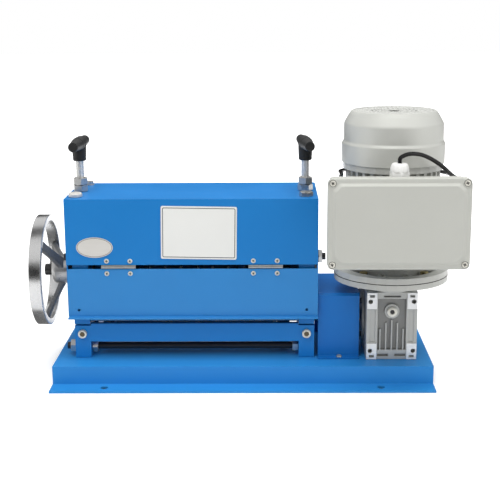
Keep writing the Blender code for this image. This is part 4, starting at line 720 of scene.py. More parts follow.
def build_grain_group() -> bpy.types.NodeTree:
    """Fine orange-peel grain over slow mottling.

    Height = fine noise; Tone = slow noise; Roughness = slow noise spread about a middle.

    Returns:
        The group's node tree.
    """
    group = ShaderGroup("surface_grain", Grain_Scale=900.0, Mottle_Scale=14.0,
                        Rough_Low=0.3, Rough_High=0.42)
    fine = group.noise(group.given["Grain Scale"], 3.0)
    slow = group.noise(group.given["Mottle Scale"], 4.0, 0.6)
    return group.give(Height=fine, Tone=slow, Roughness=group.spread(slow, 0.3, 0.7))


def build_brushed_group() -> bpy.types.NodeTree:
    """Long streaks for tool marks and brushing: noise of (vector * stretch).

    Returns:
        The group's node tree.
    """
    group = ShaderGroup("brushed_streaks", Stretch=(1.0, 1.0, 1.0), Scale=400.0,
                        Rough_Low=0.2, Rough_High=0.4)
    drawn = group.vector("MULTIPLY", group.given["Vector"], group.given["Stretch"])
    streak = group.noise(group.given["Scale"], 5.0, vector=drawn)
    return group.give(Height=streak, Tone=streak, Roughness=group.spread(streak, 0.3, 0.7))


def build_turned_group() -> bpy.types.NodeTree:
    """Fine rings round an axis, with a slow change of roughness.

    The point's place along the axis and its distance from it go into a noise, so the
    streaks run round the piece: Height = Tone = noise (along * marks, distance * marks, 0).

    Returns:
        The group's node tree.
    """
    group = ShaderGroup("turned_rings", Centre=(0.0, 0.0, 0.0), Axis=(1.0, 0.0, 0.0), Marks=600.0,
                        Rough_Low=0.2, Rough_High=0.4)
    offset = group.vector("SUBTRACT", group.given["Vector"], group.given["Centre"])
    along = group.vector("DOT_PRODUCT", offset, group.given["Axis"])
    on_line = group.node("VectorMath", {0: group.given["Axis"], "Scale": along}, operation="SCALE")
    distance = group.vector("LENGTH", group.vector("SUBTRACT", offset, on_line.outputs["Vector"]))
    pair = group.node("CombineXYZ", {"X": along, "Y": distance}).outputs["Vector"]
    streak = group.noise(group.given["Marks"], 3.0, vector=pair)
    slow = group.spread(group.noise(35.0, 3.0), 0.35, 0.65)
    return group.give(Height=streak, Tone=streak, Roughness=slow)


def build_wear_and_highlight_group() -> bpy.types.NodeTree:
    """A mask of edges that are worn and carry a painted highlight: how far the rounded normal turns
    from the true one.

    Mask = amount smoothstep(noise (1 - rounded . true)).

    Returns:
        The group's node tree.
    """
    group = ShaderGroup("edge_wear", Radius=0.0006, Amount=0.5)
    rounded = group.node("Bevel", {"Radius": group.given["Radius"]}, samples=4).outputs["Normal"]
    true = group.node("NewGeometry").outputs["Normal"]
    turn = group.math("SUBTRACT", 1.0, group.vector("DOT_PRODUCT", rounded, true))
    edge_marks = group.ramp(group.math("MULTIPLY", turn, group.noise(160.0, 3.0)), 0.03, 0.22)
    return group.give(Mask=group.math("MULTIPLY", edge_marks, group.given["Amount"]), Normal=rounded)


@dataclass(frozen=True)
class Groups:
    """The shader groups that the finishes share."""

    grain: bpy.types.NodeTree = field(default_factory=build_grain_group)
    brushed: bpy.types.NodeTree = field(default_factory=build_brushed_group)
    turned: bpy.types.NodeTree = field(default_factory=build_turned_group)
    wear_and_highlight: bpy.types.NodeTree = field(default_factory=build_wear_and_highlight_group)


class MaterialTree(NodeTree):
    """A material with a Principled BSDF, read on Object coordinates."""

    def __init__(self, name: str) -> None:
        """Start the material.

        Args:
            name: its name.
        """
        self.material = bpy.data.materials.new(name)
        self.material.use_nodes = True
        super().__init__(self.material.node_tree)
        self.shader = self.tree.nodes["Principled BSDF"]
        self.coords = self.node("TexCoord").outputs["Object"]

    def group(self, tree: bpy.types.NodeTree, **values: object) -> bpy.types.Node:
        """Place a shader group on the object's coordinates.

        Args:
            tree: the group.
            values: its input values, with _ for a space in the name.

        Returns:
            The group node.
        """
        inputs = {key.replace("_", " "): value for key, value in values.items()}
        return self.node("Group", {"Vector": self.coords, **inputs}, node_tree=tree)

    def over(self, base: object, top: Colour, mask: bpy.types.NodeSocket) -> bpy.types.NodeSocket:
        """Lay a colour over another by a mask.

        Args:
            base: the colour below, or its socket.
            top: the colour above.
            mask: where it shows.

        Returns:
            The mixed colour's socket.
        """
        below = base if isinstance(base, bpy.types.NodeSocket) else (*base, 1.0)
        values = {"A": below, "B": (*top, 1.0), "Factor": mask}
        return self.node("Mix", values, data_type="RGBA").outputs["Result"]


# Finishes.
def grey(level: float) -> Colour:
    """A colour with the same red, green and blue."""
    return (level, level, level)


@dataclass(frozen=True)
class Finish:
    """Two colours that a pattern mixes, a third on edges as wear and a painted highlight, and the
    pattern's bump.
    """

    name: str
    colour: Colour
    tone: Colour
    edge: Colour = grey(0.8)
    slot: str = ""
    rough: Pair = (0.34, 0.44)
    depth: float = 0.00004
    strength: float = 0.6
    edge_radius: float = 0.0006
    edge_amount: float = 0.5
    metallic: float = 0.0
    specular: float = 0.5

    def pattern(self, tree: MaterialTree, groups: Groups) -> bpy.types.Node:
        """Place the group whose Tone, Height and Roughness the finish shows."""
        raise NotImplementedError

    def covered(self, tree: MaterialTree, base: bpy.types.NodeSocket) -> bpy.types.NodeSocket:
        """Lay more colours over the base, where a finish has any."""
        return base

    def build(self, groups: Groups) -> bpy.types.Material:
        """Make the material.

        Args:
            groups: the shared shader groups.

        Returns:
            The new material.
        """
        tree = MaterialTree(self.name)
        pattern = self.pattern(tree, groups)
        tree.feed(pattern, {"Rough Low": self.rough[0], "Rough High": self.rough[1]})
        wear_and_highlight = tree.group(groups.wear_and_highlight, Radius=self.edge_radius, Amount=self.edge_amount).outputs
        base = tree.over(self.colour, self.tone, pattern.outputs["Tone"])
        bump = {"Strength": self.strength, "Distance": self.depth,
                "Height": pattern.outputs["Height"], "Normal": wear_and_highlight["Normal"]}
        # The edge colour laid on by the edge mask is wear and a painted highlight.
        tree.feed(tree.shader, {
            "Base Color": self.covered(tree, tree.over(base, self.edge, wear_and_highlight["Mask"])),
            "Roughness": pattern.outputs["Roughness"],
            "Normal": tree.node("Bump", bump).outputs["Normal"],
            "Metallic": self.metallic,
            "Specular IOR Level": self.specular,
        })
        return tree.material


@dataclass(frozen=True)
class PaintFinish(Finish):
    """Paint, powder coat or moulded plastic: mottled colour over fine grain."""

    grain: float = 900.0
    mottle: float = 14.0

    def pattern(self, tree: MaterialTree, groups: Groups) -> bpy.types.Node:
        """Place the grain."""
        return tree.group(groups.grain, Grain_Scale=self.grain, Mottle_Scale=self.mottle)


@dataclass(frozen=True)
class CastFinish(PaintFinish):
    """Painted casting whose machined pads show bright metal where they stand proud.

    Bare = smoothstep of how far a point lies in front of the casting's face.  The pockets
    between the ribs are painted darker, as shade: Pocket shade = (how far behind the face) (within
    the pocket's width).
    """

    bare: Colour = (0.880, 0.885, 0.880)
    # Painted shade for the pockets between the ribs.
    pocket_shade: Colour = (0.235, 0.237, 0.228)
    face_y: float = 0.0440
    middle_x: float = 0.2090
    pocket_half: float = 0.0230
    pocket_y: Pair = (0.0462, 0.0490)
    pocket_end: float = 0.0560
    blend: Point = (0.0004, 0.001, 0.0003)

    def covered(self, tree: MaterialTree, base: bpy.types.NodeSocket) -> bpy.types.NodeSocket:
        """Paint shade into the pockets and lay the pads bare.

        Args:
            tree: the material.
            base: its paint.

        Returns:
            The whole colour's socket.
        """
        parts = tree.node("SeparateXYZ", {"Vector": tree.coords}).outputs
        away = tree.math("ABSOLUTE", tree.math("SUBTRACT", parts["X"], self.middle_x))
        wide = tree.ramp(away, self.pocket_half + self.blend[0], self.pocket_half)
        behind = tree.ramp(parts["Y"], *self.pocket_y)
        before = tree.ramp(parts["Y"], self.pocket_end + self.blend[1], self.pocket_end)
        pocket = tree.math("MULTIPLY", tree.math("MULTIPLY", wide, behind), before)
        bare = tree.ramp(parts["Y"], self.face_y, self.face_y - self.blend[2])
        # The pocket colour is painted shade, the bare colour the machined pads.
        return tree.over(tree.over(base, self.pocket_shade, pocket), self.bare, bare)


@dataclass(frozen=True)
class MetalFinish(Finish):
    """Bare or plated metal: streaked colour and roughness, and brighter edges."""

    rough: Pair = (0.22, 0.40)
    depth: float = 0.00002
    strength: float = 0.5
    edge_radius: float = 0.0004
    edge_amount: float = 0.4
    metallic: float = 1.0
    stretch: Point = (1.0, 1.0, 1.0)
    scale: float = 300.0

    def pattern(self, tree: MaterialTree, groups: Groups) -> bpy.types.Node:
        """Place the streaks."""
        return tree.group(groups.brushed, Stretch=self.stretch, Scale=self.scale)


@dataclass(frozen=True)
class TurnedFinish(MetalFinish):
    """Metal with fine rings from the lathe round a line."""

    rough: Pair = (0.20, 0.36)
    depth: float = 0.000012
    strength: float = 0.4
    line: Line = Line(Axis.X)
    marks: float = 600.0

    def pattern(self, tree: MaterialTree, groups: Groups) -> bpy.types.Node:
        """Place the rings."""
        along = tuple(np.eye(3)[self.line.axis.value].tolist())
        return tree.group(groups.turned, Centre=self.line.point, Axis=along, Marks=self.marks)


BLADE_LINE = Line(Axis.X, (0.117, 0.1426))
DRIVE_LINE = Line(Axis.X, (0.117, 0.0766))
STUD_LINE = Line(Axis.Z, (-0.232, 0.117))

COAT = dict(slot="powder_coat_blue", rough=(0.30, 0.40), grain=1100.0, depth=0.00003,
            edge_amount=0.6, edge_radius=0.0009, specular=0.2)
POWDER_BLUE = PaintFinish(
    "powder_coat_blue", (0.010, 0.182, 0.515), (0.013, 0.205, 0.560), (0.050, 0.330, 0.720), **COAT)
BASE_BLUE = PaintFinish(
    "powder_coat_base", (0.024, 0.236, 0.600), (0.030, 0.262, 0.650), (0.090, 0.400, 0.800), **COAT)
# The guard's darker copy of the same blue powder coat, painted shade.
SHADED_GUARD_BLUE = PaintFinish(
    "powder_coat_guard", (0.008, 0.142, 0.460), (0.011, 0.164, 0.510), (0.030, 0.260, 0.640),
    **COAT)
FLAP_BLUE = PaintFinish(
    "powder_coat_flap", (0.028, 0.212, 0.530), (0.034, 0.238, 0.575), (0.080, 0.360, 0.730),
    **COAT | {"specular": 0.25})
BOX_GREY = PaintFinish(
    "box_plastic", (0.490, 0.495, 0.455), (0.520, 0.525, 0.485), (0.600, 0.605, 0.570),
    "box_grey", (0.40, 0.48), 0.00003, grain=1500.0)
MOTOR_GREY = PaintFinish(
    "motor_paint", (0.490, 0.495, 0.465), (0.550, 0.555, 0.525), (0.660, 0.665, 0.640),
    "motor_grey", (0.30, 0.42), 0.00008, grain=520.0)
FAN_GREY = PaintFinish(
    "fan_cover_paint", (0.520, 0.525, 0.490), (0.580, 0.585, 0.550), (0.700, 0.705, 0.680),
    "motor_grey", (0.42, 0.52), 0.00005, grain=520.0, metallic=0.30)
# A near-black ring on the flange's well floor, painted shade under the box.
WELL_SHADE_GREY = PaintFinish(
    "flange_recess", (0.032, 0.034, 0.032), (0.070, 0.072, 0.070), grey(0.300),
    "motor_grey", (0.50, 0.70), 0.00008, grain=520.0)
BLACK_PLASTIC = PaintFinish(
    "black_plastic", grey(0.012), grey(0.022), grey(0.060),
    "black_plastic", (0.44, 0.56), 0.00003, grain=1300.0, specular=0.30)
GASKET = PaintFinish(
    "gasket_rubber", grey(0.012), grey(0.020), grey(0.030),
    "black_plastic", (0.55, 0.70), grain=600.0, edge_amount=0.0)
SIGN_LINE = PaintFinish(
    "sign_line", (0.018, 0.018, 0.020), (0.028, 0.028, 0.030), grey(0.060),
    "black_plastic", (0.30, 0.40), 0.00001, grain=600.0)
SIGN_WHITE = PaintFinish(
    "sign_white", (0.770, 0.770, 0.735), (0.800, 0.800, 0.768), (0.860, 0.860, 0.850),
    "sign_white", (0.44, 0.46), 0.00001, grain=600.0)
# Black oxide for bolts and bearings; the same black also paints the shade in screw recesses and the
# plug's socket.
BLACK_OXIDE_AND_SHADE = PaintFinish(
    "black_oxide", (0.008, 0.008, 0.010), (0.018, 0.017, 0.018), (0.100, 0.095, 0.090),
    "black_oxide", (0.28, 0.40), edge_amount=0.7, edge_radius=0.0003)
NYLON = PaintFinish(
    "nylon_white", (0.760, 0.760, 0.740), (0.800, 0.800, 0.780), (0.840, 0.840, 0.830),
    "nylon_white", (0.36, 0.44))
CABLE = PaintFinish(
    "cable_jacket", grey(0.006), grey(0.010), grey(0.020),
    "cable_black", (0.16, 0.24), grain=700.0, edge_amount=0.0, specular=0.30)
SPIDER_CAST = PaintFinish(
    "rough_casting", grey(0.070), grey(0.260), grey(0.480), "polished_rim", (0.40, 0.60), 0.00030,
    grain=380.0, mottle=420.0, edge_amount=0.6, edge_radius=0.0010, specular=0.25)
HUB_CAST = PaintFinish(
    "hub_casting", grey(0.330), (0.520, 0.520, 0.515), grey(0.700), "polished_rim", (0.26, 0.44),
    0.00020, grain=420.0, mottle=160.0, edge_amount=0.6, metallic=0.8)
CAST_GREY = CastFinish(
    "cast_alloy", (0.400, 0.405, 0.385), (0.520, 0.525, 0.505), (0.760, 0.760, 0.740), "cast_alloy",
    (0.34, 0.48), 0.00014, grain=420.0, mottle=30.0, edge_radius=0.0007, edge_amount=0.8,
    metallic=0.15)
ZINC = MetalFinish(
    "zinc_plate", (0.400, 0.400, 0.390), (0.620, 0.620, 0.605),
    slot="zinc_plated", rough=(0.26, 0.42), metallic=0.9)
SCREW_ZINC = MetalFinish(
    "screw_zinc", (0.560, 0.545, 0.480), (0.740, 0.725, 0.660),
    slot="zinc_plated", rough=(0.30, 0.42), metallic=0.55)
HINGE_ZINC = MetalFinish(
    "hinge_zinc", (0.300, 0.300, 0.285), (0.460, 0.455, 0.440), rough=(0.30, 0.46), metallic=0.85)
# A dark bronze tone, painted shade at the floor of the portal screws' sockets.
SOCKET_SHADE_BRONZE = MetalFinish(
    "aged_zinc", (0.055, 0.040, 0.022), (0.190, 0.150, 0.090),
    slot="zinc_plated", rough=(0.40, 0.60), metallic=0.5)
YELLOW_ZINC = MetalFinish(
    "yellow_zinc", (0.560, 0.450, 0.200), (0.700, 0.600, 0.330),
    slot="zinc_plated", rough=(0.22, 0.38))
STEEL = MetalFinish(
    "machined_steel", (0.420, 0.420, 0.425), grey(0.560),
    slot="bright_steel", rough=(0.20, 0.38), stretch=(0.06, 1.0, 1.0))
BRONZE = MetalFinish(
    "machined_bronze", (0.480, 0.290, 0.110), (0.560, 0.350, 0.150),
    slot="bronze", rough=(0.26, 0.42))
SILVER_PLATE = MetalFinish(
    "silver_plate", (0.620, 0.600, 0.560), (0.720, 0.700, 0.660),
    slot="plate_silver", rough=(0.34, 0.46), stretch=(0.05, 1.0, 1.0), metallic=0.25)
BLADE_STEEL = TurnedFinish("turned_blades", (0.400, 0.400, 0.410), grey(0.560), line=BLADE_LINE)
DRIVE_STEEL = TurnedFinish("turned_drive", (0.400, 0.400, 0.405), grey(0.540), line=DRIVE_LINE)
RIM_POLISH = TurnedFinish(
    "polished_rim", grey(0.480), grey(0.680),
    slot="polished_rim", rough=(0.24, 0.32), line=BLADE_LINE, marks=900.0)
STUD_STEEL = TurnedFinish(
    "bright_studs", (0.560, 0.560, 0.550), (0.720, 0.720, 0.705),
    slot="bright_steel", rough=(0.20, 0.32), line=STUD_LINE, marks=700.0, metallic=0.6)

SLOT_FINISHES: dict[str, Finish] = {finish.slot: finish for finish in (
    POWDER_BLUE, ZINC, STEEL, BLACK_OXIDE_AND_SHADE, BLACK_PLASTIC, CAST_GREY, MOTOR_GREY, BOX_GREY,
    RIM_POLISH, SIGN_WHITE, SILVER_PLATE, NYLON, BRONZE, CABLE)}
NODE_FINISHES: dict[str, Finish] = {
    "front_flap": FLAP_BLUE,
    "base_frame": BASE_BLUE,
    "drive_guard": SHADED_GUARD_BLUE,
    **{f"{side}_hinge_{leaf}_leaf": HINGE_ZINC for side in SIDES for leaf in ("upper", "lower")},
    **{"blade_" + part: BLADE_STEEL for part in ("shaft", "roller", "gear")},
    **{"drive_" + part: DRIVE_STEEL for part in ("shaft", "gear")},
    **{side + "_drive_bearing": BLACK_OXIDE_AND_SHADE for side in SIDES},
}


class Workshop:
    """Makes every finish once, lays them on the solids, and turns shapes into pieces."""

    def __init__(self) -> None:
        """Build the shared groups."""
        self.groups = Groups()
        self.made: dict[str, bpy.types.Material] = {}

    def material(self, finish: Finish) -> bpy.types.Material:
        """Look a finish's material up, or make it.

        Args:
            finish: the finish.

        Returns:
            Its material.
        """
        if finish.name not in self.made:
            self.made[finish.name] = finish.build(self.groups)
        return self.made[finish.name]

    def dress(self, frame: dict) -> None:
        """Give every solid the material of its slot, or its own.
        """
        slots = {part["node"]: part["material_slot"] for part in frame["record"]["subparts"]}
        for name, node in frame["nodes"].items():
            node.data.materials.clear()
            finish = NODE_FINISHES.get(name, SLOT_FINISHES[slots[name]])
            node.data.materials.append(self.material(finish))
        LOG.info("dressed %d solids", len(frame["nodes"]))

    def piece(self, name: str, shape: Shape, finish: Finish, replaced: Sequence[str] = (),
              body: str = "frame", slot: str = "", sharp: float = PLAIN,
              sheet: float = 0.0) -> bpy.types.Object:
        """Turn a shape into a piece of the scene that rides on a body.

        Args:
            name: the piece's name.
            shape: its points and faces.
            finish: its finish.
            replaced: the solids that it stands for.
            body: the body that it moves with.
            slot: not used.
            sharp: edges over this angle, in degrees, stay sharp.
            sheet: the thickness that an open surface gets, inwards.

        Returns:
            The new object.
        """
        mesh = bpy.data.meshes.new(name)
        mesh.from_pydata(shape.points.tolist(), [], shape.faces)
        mesh.validate()
        grid = bmesh.new()
        grid.from_mesh(mesh)
        bmesh.ops.recalc_face_normals(grid, faces=grid.faces)
        grid.to_mesh(mesh)
        grid.free()
        mesh.materials.append(self.material(finish))
        mesh.shade_smooth()
        mesh.set_sharp_from_angle(angle=math.radians(sharp))
        piece = bpy.data.objects.new(name, mesh)
        if sheet:
            solid = piece.modifiers.new("sheet", "SOLIDIFY")
            solid.thickness = sheet
            solid.offset = -1.0
        bpy.context.scene.collection.objects.link(piece)
        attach(piece, body)
        if replaced:
            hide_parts(*replaced)
        LOG.info("%s: %d faces on %s", name, len(mesh.polygons), body)
        return piece


@dataclass(frozen=True)
class Room:
    """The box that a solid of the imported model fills."""

    low: np.ndarray
    high: np.ndarray

    @classmethod
    def of(cls, node: str) -> "Room":
        """Read a solid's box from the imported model."""
        return cls(*(np.array(corner, float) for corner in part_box(node)))

    def line(self, axis: Axis) -> Line:
        """The line along an axis through the box's middle."""
        return Line(axis, tuple(np.delete((self.low + self.high) / 2, axis.value).tolist()))

    def along(self, axis: Axis) -> Pair:
        """Where the box starts and ends along an axis."""
        return float(self.low[axis.value]), float(self.high[axis.value])

    def across(self, axis: Axis) -> tuple[np.ndarray, np.ndarray]:
        """The box's two corners without their places along an axis."""
        return np.delete(self.low, axis.value), np.delete(self.high, axis.value)

    def half(self, axis: Axis) -> float:
        """Half the box's size along an axis."""
        return float(self.high[axis.value] - self.low[axis.value]) / 2


# Sub-assemblies.
@dataclass
class Assembly:
    """A part of the machine, made piece by piece in a workshop."""

    shop: Workshop

    def piece(self, *given: object, **named: object) -> bpy.types.Object:
        """Have the workshop make a piece."""
        return self.shop.piece(*given, **named)


@dataclass
class MotorLead(Assembly):
    """The black lead from the box, round the back of the motor, to the terminal base."""

    radius: float = 0.0028
    route: tuple[Point, ...] = (
        (0.2070, -0.0200, 0.3114), (0.2070, -0.0200, 0.3174), (0.2076, -0.0195, 0.3232),
        (0.2128, -0.0180, 0.3264), (0.2208, -0.0160, 0.3284), (0.2311, -0.0120, 0.3275),
        (0.2400, -0.0080, 0.3248), (0.2494, -0.0030, 0.3201), (0.2600, 0.0020, 0.3133),
        (0.2684, 0.0070, 0.3067), (0.2751, 0.0120, 0.3005), (0.2819, 0.0180, 0.2945),
        (0.2880, 0.0320, 0.2895), (0.2900, 0.0580, 0.2870), (0.2860, 0.0950, 0.2860),
        (0.2610, 0.1330, 0.2850), (0.2090, 0.1540, 0.2850), (0.1570, 0.1330, 0.2860),
        (0.1385, 0.1000, 0.2885), (0.1378, 0.0760, 0.2895), (0.1365, 0.0580, 0.2890),
        (0.1330, 0.0400, 0.2850), (0.1310, 0.0230, 0.2740), (0.1370, 0.0095, 0.2600),
        (0.1470, 0.0040, 0.2480), (0.1570, 0.0027, 0.2440), (0.1644, 0.0027, 0.2440),
        (0.1704, 0.0027, 0.2440))

    def build(self) -> None:
        """Make the lead."""
        path = through_points(self.route, 6)
        piece = self.piece("black_lead", tube(path, self.radius), CABLE, ["motor_lead"])


@dataclass
class ControlBox(Assembly):
    """The control box's lid with its raised panel, screws and gasket.

    The slope and the collar are profiles: share of the panel's slope and rise, and place and
    radius beyond the rim and the collar's own radius.
    """

    edge: float = 0.0018
    edge_round: float = 0.3
    rim_share: float = 1.5
    corner: float = 0.009
    proud: float = 0.0030
    base_inset: float = 0.0068
    top_inset: float = 0.0104
    cut: float = 0.0085
    panel_corner: float = 0.006
    back_round: float = 0.0006
    slope: Profile = (
        (-0.12, 0.0), (0.0, 0.03), (0.12, 0.12), (0.5, 0.5), (0.82, 0.86), (0.95, 0.97),
        (1.08, 1.0), (1.3, 1.0))
    screw_radius: float = 0.0040
    screw_inset: Pair = (0.0068, 0.0067)
    screw_turn: float = 0.4
    screw_ends: Pair = (0.0002, -0.0017)
    collar_radius: float = 0.0045
    collar: Profile = (
        (0.0, 0.0), (-0.0006, 0.0002), (-0.0008, 0.0008), (-0.0005, 0.0012), (0.0002, 0.0015),
        (0.0002, 0.0))
    seal_inset: float = 0.0012
    seal_width: float = 0.002
    seal_corner: float = 0.005
    seal_draw: float = 0.001

    def build(self) -> None:
        """Make the lid, its four screws with their collars, black discs and crosses of painted
        shadow under and in their heads, and the gasket behind it.
        """
        room = Room.of("control_box_lid")
        front, back = room.along(Axis.Y)
        low, high = room.across(Axis.Y)
        rim = front + self.proud
        edge, soft = self.edge, self.edge * self.edge_round
        insets = (self.back_round, 0, 0, soft, edge, edge * self.rim_share)
        outlines = [rounded_outline(low + inset, high - inset, self.corner - inset * 0.5, 7)
                    for inset in insets]
        places = [back, back - self.back_round, rim + edge, rim + soft, rim, rim]
        for share, rise in self.slope:
            inset = self.base_inset + (self.top_inset - self.base_inset) * share
            corners = low + inset, high - inset
            outlines.append(cut_corner_outline(*corners, self.cut, self.panel_corner))
            places.append(rim - self.proud * rise)
        lid = Line(Axis.Y).loft(outlines, places)
        self.piece("box_lid_moulding", lid, BOX_GREY, ["control_box_lid"], sharp=MOULDED)

        (left, lower), (right, upper) = low + self.screw_inset, high - self.screw_inset
        seat, top = (rim + end for end in self.screw_ends)
        collars, screws, shade_marks = Shape(), Shape(), Shape()
        for i, at in enumerate(((left, lower), (right, lower), (left, upper), (right, upper))):
            line = Line(Axis.Y, at)
            screw = Screw(line, self.screw_radius, seat, top, self.screw_turn + i)
            # Painted shadow: a black disc round each screw's seat and a black cross in its recess.
            shade_marks.add(Screw(line, self.collar_radius, rim, rim - LAP).disc()).add(screw.cross())
            collars.add(line.lathe(shifted(self.collar, rim, self.collar_radius), 32))
            screws.add(screw.pan())
        self.piece("box_lid_collars", collars, BOX_GREY)
        self.piece("box_lid_screws", screws, SCREW_ZINC, sharp=DOMED)
        self.piece("box_lid_recesses", shade_marks, BLACK_OXIDE_AND_SHADE)

        tray = Room.of("control_box_tray")
        low, high = tray.across(Axis.Y)
        low, high = low + self.seal_inset, high - self.seal_inset
        outer = rounded_outline(low, high, self.seal_corner, 5)
        width, corner = self.seal_width, self.seal_corner - self.seal_draw
        inner = rounded_outline(low + width, high - width, corner, 5)
        seal = Line(Axis.Y).band(outer, inner, back, tray.along(Axis.Y)[0])
        self.piece("box_gasket", seal, GASKET)


@dataclass
class Glands(Assembly):
    """The box's white cable gland and the small black one at the terminal base.

    The caps and the small hexagon are profiles: share of the height and radius for the white
    cap, and place down from the face and radius, or share of the hexagon, for the black one.
    """

    lead_radius: float = 0.0029
    nut_flats: float = 0.0235
    nut_turn: float = 0.15
    nut_down: Pair = (0.0195, 0.0112)
    nut_edge: Pair = (0.0008, 0.0010)
    nut_draw: Pair = (0.97, 0.965)
    stem: Pair = (0.0075, 0.0080)
    grips: int = 12
    grip_depth: float = 0.030
    grip_gap: float = -0.2
    cap: Profile = (
        (0.0, 0.0124), (0.06, 0.0126), (0.34, 0.0123), (0.62, 0.0114), (0.80, 0.0106),
        (0.93, 0.0097), (0.985, 0.0088), (1.0, 0.0080), (1.0, 0.0042), (0.94, 0.0029),
        (0.60, 0.0029))
    grip_end: float = 0.9
    small_flats: float = 0.011
    small_turn: float = 0.1
    small_stem: float = 0.0035
    small_face: float = 0.004
    small_hexagon: Profile = ((0.0, 0.96), (0.0006, 1.0), (0.0060, 1.0), (0.0065, 0.95))
    small_cap: Profile = ((0.0066, 0.0052), (0.0110, 0.0050))
    small_mouth: float = 0.0044
    mouth_depth: float = 0.004

    def build(self) -> None:
        """Make both glands: a hexagon, then a cap that closes on the lead."""
        room = Room.of("box_gland")
        low, high = room.along(Axis.Z)
        seat, nut_top = (high - down for down in self.nut_down)
        angle = full_turn(72)
        hexagon = hexagon_reach(angle, self.nut_flats / 2, self.nut_turn)
        grip = 1 - self.grip_depth * np.clip(np.cos(self.grips * angle), self.grip_gap, 1.0)
        lower, upper = (hexagon * draw for draw in self.nut_draw)
        radii = [*self.stem, lower, hexagon, hexagon, upper]
        radii += [reach * grip if 0 < share < self.grip_end else reach for share, reach in self.cap]
        places = [low, seat, seat, seat + self.nut_edge[0], nut_top - self.nut_edge[1], nut_top]
        places += [nut_top + (high - nut_top) * share for share, _ in self.cap]
        cap = room.line(Axis.Z).rings(angle, radii, places)
        self.piece("box_gland_cap", cap, NYLON, ["box_gland"])

        room = Room.of("terminal_gland")
        low, high = room.along(Axis.X)
        face = high - self.small_face
        hexagon = hexagon_reach(angle, self.small_flats / 2, self.small_turn)
        radii = [self.small_stem] * 2 + [hexagon * share for _, share in self.small_hexagon]
        radii += [radius for _, radius in self.small_cap]
        radii += [self.small_mouth, self.lead_radius, self.lead_radius]
        places = [high, face] + [face - down for down, _ in self.small_hexagon + self.small_cap]
        places += [low, low, low + self.mouth_depth]
        cap = room.line(Axis.X).rings(angle, radii, places)
        self.piece("terminal_gland_cap", cap, BLACK_PLASTIC, ["terminal_gland"])


@dataclass
class FanCover(Assembly):
    """The spun fan cover with its slotted crown and side screws.

    The skirt is a profile of place down from the top and draw in from the widest radius,
    and the crown one of place down from the top and radius.
    """

    sheet: float = 0.0014
    bend: float = 0.0028
    lip: float = 0.0003
    skirt: Profile = ((0.0440, 0.0), (0.0408, 0.0025), (0.0170, 0.0026))
    crown: Profile = ((0.0042, 0.0610), (0.0, 0.0575))
    rows: int = 14
    spokes: int = 96
    dish: float = 0.0012
    slots: Pair = (0.004, 0.011)
    eye: float = 0.008
    fine_rows: int = 7
    screw_turns: Point = (0.0, 130.0, 230.0)
    screw_rise: float = 0.0085
    screw_radius: float = 0.0035
    screw_proud: float = 0.0015
    head_turn: float = 0.3

    def grille(self, line: Line, top: float, edge: float) -> Shape:
        """The dished grille: Z = top - dish (1 - (r / edge)^2), every second row cut into slots.

        Args:
            line: the motor's line.
            top: where it meets the cover.
            edge: its radius.

        Returns:
            The open surface.
        """
        start, end = self.slots
        rows = np.concatenate([[edge], np.linspace(edge - start, end, self.rows), [self.eye]])
        angle = full_turn(self.spokes)
        dish = top - self.dish * (1 - (rows / edge) ** 2)
        points = line.place(rows[:, None, None] * circle(angle), dish[:, None]).reshape(-1, 3)
        quads = ring_faces(len(rows), len(angle), False)
        row, column = np.divmod(np.arange(len(quads)), len(angle))
        step = np.where(row < self.fine_rows, 2, 4)
        hole = (row % 2 == 1) & (row < len(rows) - 2) & (column % step != 0)
        return Shape(points, quads[~hole].tolist())

    def build(self) -> None:
        """Make the cover, the grille and the screws that hold the cover."""
        room = Room.of("fan_cover")
        line = room.line(Axis.Z)
        low, high = room.along(Axis.Z)
        band, edge = room.half(Axis.X), Room.of("fan_cover_grille").half(Axis.X)
        outside = [(low, band - LAP)] + [(high - down, band - draw) for down, draw in self.skirt]
        outside += [(high - down, radius) for down, radius in self.crown] + [(high, edge)]
        shell = arc_profile(outside, self.bend, 5)
        inside = [(place - self.lip, radius - self.sheet) for place, radius in shell[1:-1]]
        inside = [(low, shell[0][1] - self.sheet), *inside, (high - self.sheet, edge)]
        cover = line.lathe(shell + inside[::-1], 96)
        self.piece("fan_cover_skin", cover, FAN_GREY, ["fan_cover"], sharp=MOULDED)
        grille = self.grille(line, high, edge)
        half = self.sheet / 2
        self.piece("fan_cover_slots", grille, MOTOR_GREY, ["fan_cover_grille"], sheet=half)
        x, y = line.centre
        side, face = Line(Axis.Y, (x, low + self.screw_rise)), y - band
        screws = Shape()
        for k, turn in enumerate(np.radians(self.screw_turns)):
            ends = face + LAP, face - self.screw_proud
            screw = Screw(side, self.screw_radius, *ends, self.head_turn * k)
            screws.add(screw.pan().turned(turn, line))
        self.piece("fan_cover_screws", screws, ZINC, sharp=DOMED)


